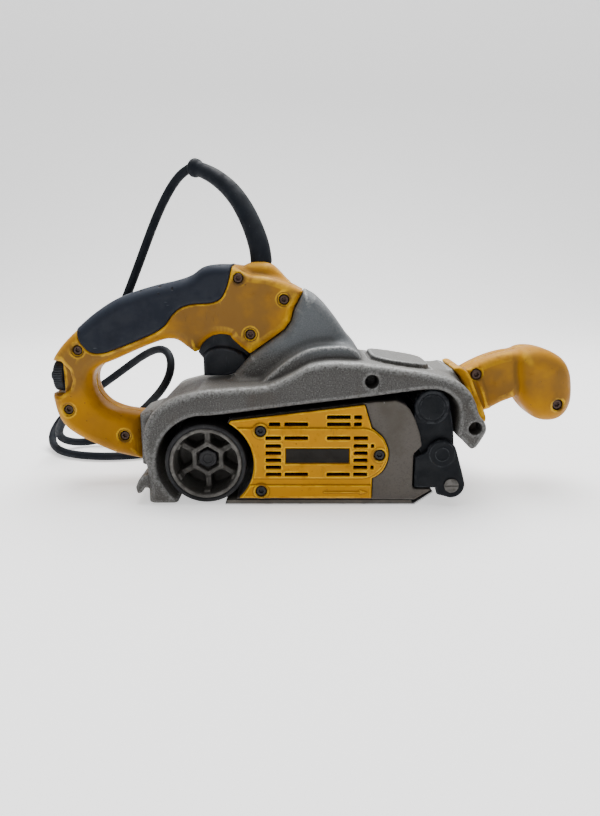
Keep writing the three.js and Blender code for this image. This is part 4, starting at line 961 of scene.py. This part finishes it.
def vent_cover():
    g = Field((-62, -59.5, 3), (57, -51, 77), 0.5)
    flat = g.outline(COVER)
    f = g.slab(flat, NEAR, NEAR + 4.3, 0.7)
    dee = g.outline([(-60, 21), (36, 21)] + arc(34, 39.5, 18.5, -84, 84, 24) + [(36, 58), (-60, 58)])
    raised = both(g.slab(dee, NEAR - 1.1, NEAR + 2, 0.3), flat + 0.9)
    f = join(f, raised, 0.3)
    foot = both(g.slab([(-60, 0), (60, 0), (60, 15.7), (-60, 15.7)], NEAR - 0.8, NEAR + 2, 0.4),
                flat + 0.6)
    f = join(f, foot, 0.3)
    for x, z, _ in COVER_SCREWS:
        f = join(f, g.rod(x, z, 5.6, NEAR - 1.3, NEAR + 2, 0.5), 0.5)
        f = cut(f, g.rod(x, z, 4.2, NEAR - 4, NEAR + 1.6), 0.3)
        f = cut(f, g.rod(x, z, 1.9, NEAR - 4, NEAR + 8))
    for x0, x1, rows in SLOTS:
        for z in rows:
            f = cut(f, g.block((x0, NEAR - 4, z - 1.35), (x1, NEAR + 8, z + 1.35), 0.3), 0.4)
    f = cut(f, g.slab([(-19.6, 32), (26.4, 32), (26.4, 43.6), (-19.6, 43.6)], NEAR - 4, NEAR + 0.2), 0.3)
    arrow = join(g.block((8, NEAR - 1.3, 10.2), (34, NEAR, 10.9), 0.2),
                 g.slab([(34, 9.2), (39, 10.6), (34, 12)], NEAR - 1.3, NEAR, 0.2), 0.2)
    f = join(f, arrow, 0.2)
    o = solid("vent_cover_moulding", g, f, "housing", "yellow_shell", COVER_YELLOW, "vent_cover",
              ratio=0.6)
    p = points_of(o)
    # painted shade on surfaces set back behind the cover's near face, such as slot walls
    set_back_shade = np.clip((p[:, 1] - (NEAR + 0.3)) / 1.0, 0, 1) * 0.85
    # painted shade ringing each screw recess
    holes = np.zeros(len(p))
    for x, z, _ in COVER_SCREWS:
        d = np.hypot(p[:, 0] - x, p[:, 2] - z)
        holes = np.maximum(holes, 0.8 * np.clip(1.2 - np.abs(d - 4.4) / 1.2, 0, 1))
    paint(o, np.maximum(set_back_shade, holes))
    plate = Field((-21, -58, 31), (28, -55.6, 45), 0.4)
    q = plate.block((-19.1, NEAR - 0.3, 32.5), (25.9, NEAR + 0.35, 43.1), 0.25)
    solid("vent_cover_label", plate, q, "housing", "black_plastic", LABEL, ratio=0.3)


vent_cover()


# ---- drive drum
def drive_drum():
    cx, cz = DRUM
    g = Field((cx - 28, -58, cz - 28), (cx + 28, 22, cz + 28), 0.72)
    rr = g.disc(cx, cz, 0)
    f = g.slab(np.maximum(rr - 26, 23.2 - rr), -56, 20, 0.9)
    f = join(f, g.slab(np.maximum(rr - 24, 8 - rr), -29, -14), 2)

    def hexagon(r):
        return [(cx + r * math.sin(math.radians(60 * i)), cz + r * math.cos(math.radians(60 * i)))
                for i in range(6)]

    f = join(f, g.slab(hexagon(13.2), -44.5, 8, 0.8), 1.5)
    for i in range(6):
        a = math.radians(30 + 60 * i)
        along = (g.x - cx) * math.cos(a) + (g.z - cz) * math.sin(a)
        across = np.abs(-(g.x - cx) * math.sin(a) + (g.z - cz) * math.cos(a))
        rib = np.maximum(np.maximum(across - 2, 10 - along), along - 24.4)
        f = join(f, g.slab(rib, -43.5, -15, 0.7), 2)
        knot = np.maximum(np.maximum(across - 2.3, 21.4 - along), along - 24.6)
        f = join(f, g.slab(knot, -52, -15, 0.7), 1)
    f = cut(f, g.slab(hexagon(9.4), -60, -40), 0.6)
    f = cut(f, g.slab(rr - 7.6, -60, -35.5), 0.4)
    f = cut(f, g.slab(rr - 5.3, -40, 30))
    solid("drive_drum_casting", g, f, "drum", "drum_hub", HUB, "drive_drum", ratio=0.6)
    b = Field((cx - 9, -46, cz - 9), (cx + 9, -34, cz + 9), 0.4)
    bolt = both(b.slab(hexagon(7.4), -43.4, -35.6, 0.5), b.rod(cx, cz, 7.1, -43.4, -35, 1.6))
    bolt = cut(bolt, b.rod(cx, cz, 3.6, -46, -42.8), 0.3)
    solid("drum_bolt_head", b, bolt, "drum", "screw_steel", COVER_SCREW, "drum_bolt")
    tread = [(29.1 + 0.4 * math.cos((y + 18) / 38 * math.pi / 2), y)
             for y in (-53 + 71 * k / 11 for k in range(12))]
    tyre = [(26.3, -55.6), (28.9, -55.6), (29.3, -54.6)] + tread \
        + [(29.3, 18.8), (28.9, 19.6), (26.3, 19.6)]
    piece(lathe("drum_tyre_rubber", tyre, cx, cz), "drum", "drum_tyre", RUBBER, "drum_tyre")


drive_drum()


# ---- arms and trigger
def arms():
    arm = arc(*UPPER, 12.8, 20, 180, 20) + [(72.4, 48), (80.4, 34)] + arc(*PIN, 9.6, 220, 360, 12) \
        + [(100.4, 58)]
    g = Field((69, -54, 26), (105, 24, 88), 0.6)
    flat = g.outline(arm)
    f = join(g.slab(flat, -51.7, -49, 0.6), g.slab(flat, 17.6, 21.4, 0.6))
    f = join(f, g.block((79.5, -50, 52), (84, 20, 60)))
    disc = g.disc(*UPPER, 0)
    f = join(f, g.slab(disc - 12.2, -52.4, -50, 0.4), 0.3)
    f = cut(f, g.slab(np.abs(disc - 9.6) - 0.35, -54, -52.0), 0.3)
    f = cut(f, g.slab(disc - 3.4, -50.4, 30))
    f = cut(f, g.rod(*PIN, 3.3, -50.4, 30))
    solid("roller_arm_plates", g, f, "arm", "black_metal", ARM_BLACK, "roller_arm", ratio=0.5)

    nose = [(73.4, 13.6), (73.2, 36.6)] + spline([(73.2, 36.6), (77, 37.8), (81.6, 40.6)], 3)[1:] \
        + arc(*PIN, 10.6, 164, 14, 16) + [(103.6, 38), (107.2, 26)] + arc(*NOSE, 9.8, 14, -92, 16) \
        + [(90, 8.2), (88.6, 13.2)]
    g = Field((70, -60, 3), (113, 19, 52), 0.6)
    flat = g.outline(nose)
    f = join(g.slab(flat, -56.4, -52.6, 0.8), g.slab(flat, 13, 16.6, 0.8))
    f = join(f, g.block((74, -55, 14.4), (80, 15, 26)))
    disc = g.disc(*PIN, 0)
    f = join(f, g.slab(disc - 9.6, -56.9, -54, 0.4), 0.2)
    f = join(f, g.slab(np.abs(disc - 4.9) - 0.5, -57.3, -54, 0.3), 0.2)
    disc = g.disc(*NOSE, 0)
    f = cut(f, g.slab(disc - 3.3, -60, 30))
    f = cut(f, g.slab([(x - 6.4, z) for x, z in arc(*PIN, 3.4, 90, 270)] + arc(*PIN, 3.4, -90, 90),
                      0, 30))
    solid("nose_bracket_plates", g, f, "nose", "black_metal", ARM_BLACK, "nose_bracket", ratio=0.5)

    for name, centre, y1, slot, mat, node in (
            ("upper_axle_rod", UPPER, 27, "steel", STEEL, "upper_roller_axle"),
            ("pivot_pin_rod", PIN, 21, "screw_steel", SCREW, "pivot_pin")):
        rod = round_corners([(0.01, -50.2), (2.9, -50.2), (2.9, y1), (0.01, y1)], 0.5)
        piece(lathe(name, rod, *centre, n=40), "arm", slot, mat, node)
    cx, cz = NOSE
    g = Field((cx - 7, -60, cz - 7), (cx + 7, 18, cz + 7), 0.45)
    f = join(g.rod(cx, cz, 2.9, -57, 17, 0.4), g.rod(cx, cz, 5.3, -58, -56.7, 0.5))
    f = cut(f, g.block((cx - 8, -60, cz - 0.6), (cx + 8, -57.4, cz + 0.6)))
    solid("nose_axle_rod", g, f, "nose", "screw_steel", HUB, "nose_roller_axle", ratio=0.5)


arms()


def trigger():
    g = Field((-90, -16, 83), (-40, 16, 125), 0.62)
    web = spline([(-86.6, 104.6), (-85, 111), (-78.6, 118), (-70, 121.6), (-62, 121.4), (-56, 119)], 4) \
        + [(-50, 115.6), (-44, 112.4), (-44.4, 108.6), (-50, 98), (-56, 92), (-78, 94)]
    paddle = [(-82.4, 87.4), (-64.4, 87.4), (-57.6, 89.8), (-50, 94), (-48, 98.6), (-52, 104)] + spline(
        [(-58, 107), (-66, 109), (-74, 108.6), (-80, 105.6), (-82.4, 102)], 4)
    f = g.slab(web, -8.6, 8.6, 1.5)
    f = join(f, g.slab(paddle, -13, 13, 2), 0.5)
    f = cut(f, g.rod(*TRIGGER_PIN, 1.9, -20, 20))
    solid("trigger_moulding", g, f, "trigger", "black_plastic", BLACK, "trigger", ratio=0.6)


trigger()


# ---- lead guard
def swept(name, line, radius, sides=28):
    """A tube along a line, with a radius for each point, closed at both ends."""
    p = np.array(line, float)
    t = np.gradient(p, axis=0)
    t /= np.linalg.norm(t, axis=1)[:, None]
    side = np.cross(t[0], (0, 1, 0.01))
    pts = []
    a = np.linspace(0, 2 * math.pi, sides, endpoint=False)
    for c, d, r in zip(p, t, radius):
        side = side - d * side.dot(d)
        side /= np.linalg.norm(side)
        up = np.cross(d, side)
        pts.append(c + r * (np.cos(a)[:, None] * side + np.sin(a)[:, None] * up))
    return sealed(mesh_object(name, np.concatenate(pts), grid_quads(len(p), sides, False)))


GUARD_LINE = spline([(-38, 0, 160), (-38, 0, 171), (-39.4, 1, 182), (-44, 5, 196), (-52, 11, 212),
                     (-62, 19, 225), (-74, 28, 235), (-86, 37, 241.4), (-95, 43.2, 244.6)], 10)
guard_r = np.interp(np.linspace(0, 1, len(GUARD_LINE)),
                    [0, 0.1, 0.13, 0.16, 0.3, 0.6, 0.86, 0.9, 0.93, 0.97, 1],
                    [6.2, 6.2, 8.1, 8.0, 7.8, 6.8, 5.7, 5.6, 7.2, 7.2, 4.8])
piece(swept("cord_guard_boot", GUARD_LINE, guard_r), "housing", "cord_rubber", CORD, "cord_guard")


# ---- speed dial
def speed_dial():
    """A thumb wheel with fine ridges across its rim."""
    g = Field((-203.4, -13, 72), (-188, 13, 99), 0.42)
    out = np.hypot(g.y, g.z - DIAL_Z)
    rim = out - 11.5 - 0.35 * np.cos(40 * np.arctan2(g.z - DIAL_Z, g.y))
    f = meet(rim, np.abs(g.x - DIAL_X) - 3.7, 0.6)
    cap = np.maximum(out - 3.4, np.abs(g.x + 198) - 4.2)  # over the end of its shaft
    f = join(f, cap, 1)
    solid("speed_dial_wheel", g, f, "speed_dial", "black_plastic", BLACK, "speed_dial", ratio=0.6)


# ---- carried-over pieces, softened
def softened(node, body, slot, mat, voxel, smooth=3):
    """A CAD node's own shape with its edges rounded over."""
    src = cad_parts[node]
    obj = link(bpy.data.objects.new(f"{node}_finished", src.data.copy()))
    m = obj.modifiers.new("remesh", "REMESH")
    m.mode = "VOXEL"
    m.voxel_size = voxel * MM
    m.use_smooth_shade = True
    s = obj.modifiers.new("smooth", "SMOOTH")
    s.factor = 0.4
    s.iterations = smooth
    thin(obj, 0.5)
    for p in obj.data.polygons:
        p.use_smooth = True
    return piece(obj, body, slot, mat, node)


frame_box = softened("inner_frame", "housing", "inner_frame", PLATE, 0.9)
frame_at = points_of(frame_box)
# painted shade on the frame set back behind the near face, above its lower edge
paint(frame_box, np.clip((frame_at[:, 1] + 53.6) / 2.5, 0, 1) * np.clip((frame_at[:, 2] - 4.5) / 2, 0, 1))
for node, body, voxel in (("belt_cover", "housing", 0.6), ("tension_lever", "tension_lever", 0.5),
                          ("tracking_knob", "tracking_knob", 0.5), ("dust_port", "housing", 0.5)):
    softened(node, body, "black_plastic", BLACK, voxel)
plug = softened("plug", "housing", "cord_rubber", CORD, 0.6, smooth=6)
speed_dial()
softened("lock_button", "lock_button", "black_plastic", BLACK, 0.4)

# ---- carried-over pieces, as they are
KEPT = [
    (STEEL, "drum_shaft drum_bearing_1 drum_bearing_2 motor_bearing_1 motor_bearing_2"
            " upper_roller nose_roller trigger_pin platen_sheet"),
    (SCREW, "drum_pulley motor_field motor_pulley"),
    (COPPER, "armature brush_holder_1 brush_holder_2"),
    (BLACK, "cooling_fan switch_body speed_module"),
    (RUBBER, "toothed_belt"),
    (CORK, "platen_pad"),
]
for mat, names in KEPT:
    for name in names.split():
        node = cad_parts[name]
        if node.material_slots:
            for s in node.material_slots:
                s.material = mat
        else:
            node.data.materials.append(mat)

power_lead.data.materials.append(CORD)

# ---- stage and light
FLAT_TO, SWEEP_R = 900, 1200  # where the floor starts to curve up, and its radius there
floor_mat = Nodes("floor").done((0.9, 0.9, 0.9), 0.9, Emission_Color=(1, 1, 1, 1),
                                Emission_Strength=0.75)
sweep = [(-3000.0, 0.0), (FLAT_TO, 0.0)] + [
    (FLAT_TO + SWEEP_R * math.sin(math.radians(a)), SWEEP_R - SWEEP_R * math.cos(math.radians(a)))
    for a in range(6, 91, 6)] + [(FLAT_TO + SWEEP_R, 4000.0)]
ground = mesh_object("floor", np.array([(x, y, z) for y, z in sweep for x in (-4000, 4000)]),
                     [(2 * i, 2 * i + 1, 2 * i + 3, 2 * i + 2) for i in range(len(sweep) - 1)])
ground.data.materials.append(floor_mat)


AIM = (0, 0, 0.08)  # the middle of the sander


def lamp(name, place, size, watts, color=(1, 1, 1)):
    """A round soft light turned towards the sander."""
    data = bpy.data.lights.new(name, "AREA")
    data.shape = "DISK"
    data.size = size
    data.energy = watts
    data.color = color
    o = link(bpy.data.objects.new(name, data))
    o.location = place
    d = np.array(AIM) - np.array(place)
    o.rotation_euler = (math.atan2(math.hypot(d[0], d[1]), -d[2]), 0, math.atan2(-d[0], d[1]))


lamp("top", (0.05, 0.35, 1.25), 1.2, 36)
lamp("front", (-0.3, -1.2, 0.9), 1.0, 2.5, (1.0, 0.97, 0.94))
world = bpy.data.worlds.new("studio")
world.use_nodes = True
world.node_tree.nodes["Background"].inputs[0].default_value = (1, 1, 1, 1)
world.node_tree.nodes["Background"].inputs[1].default_value = 0.35
bpy.context.scene.world = world
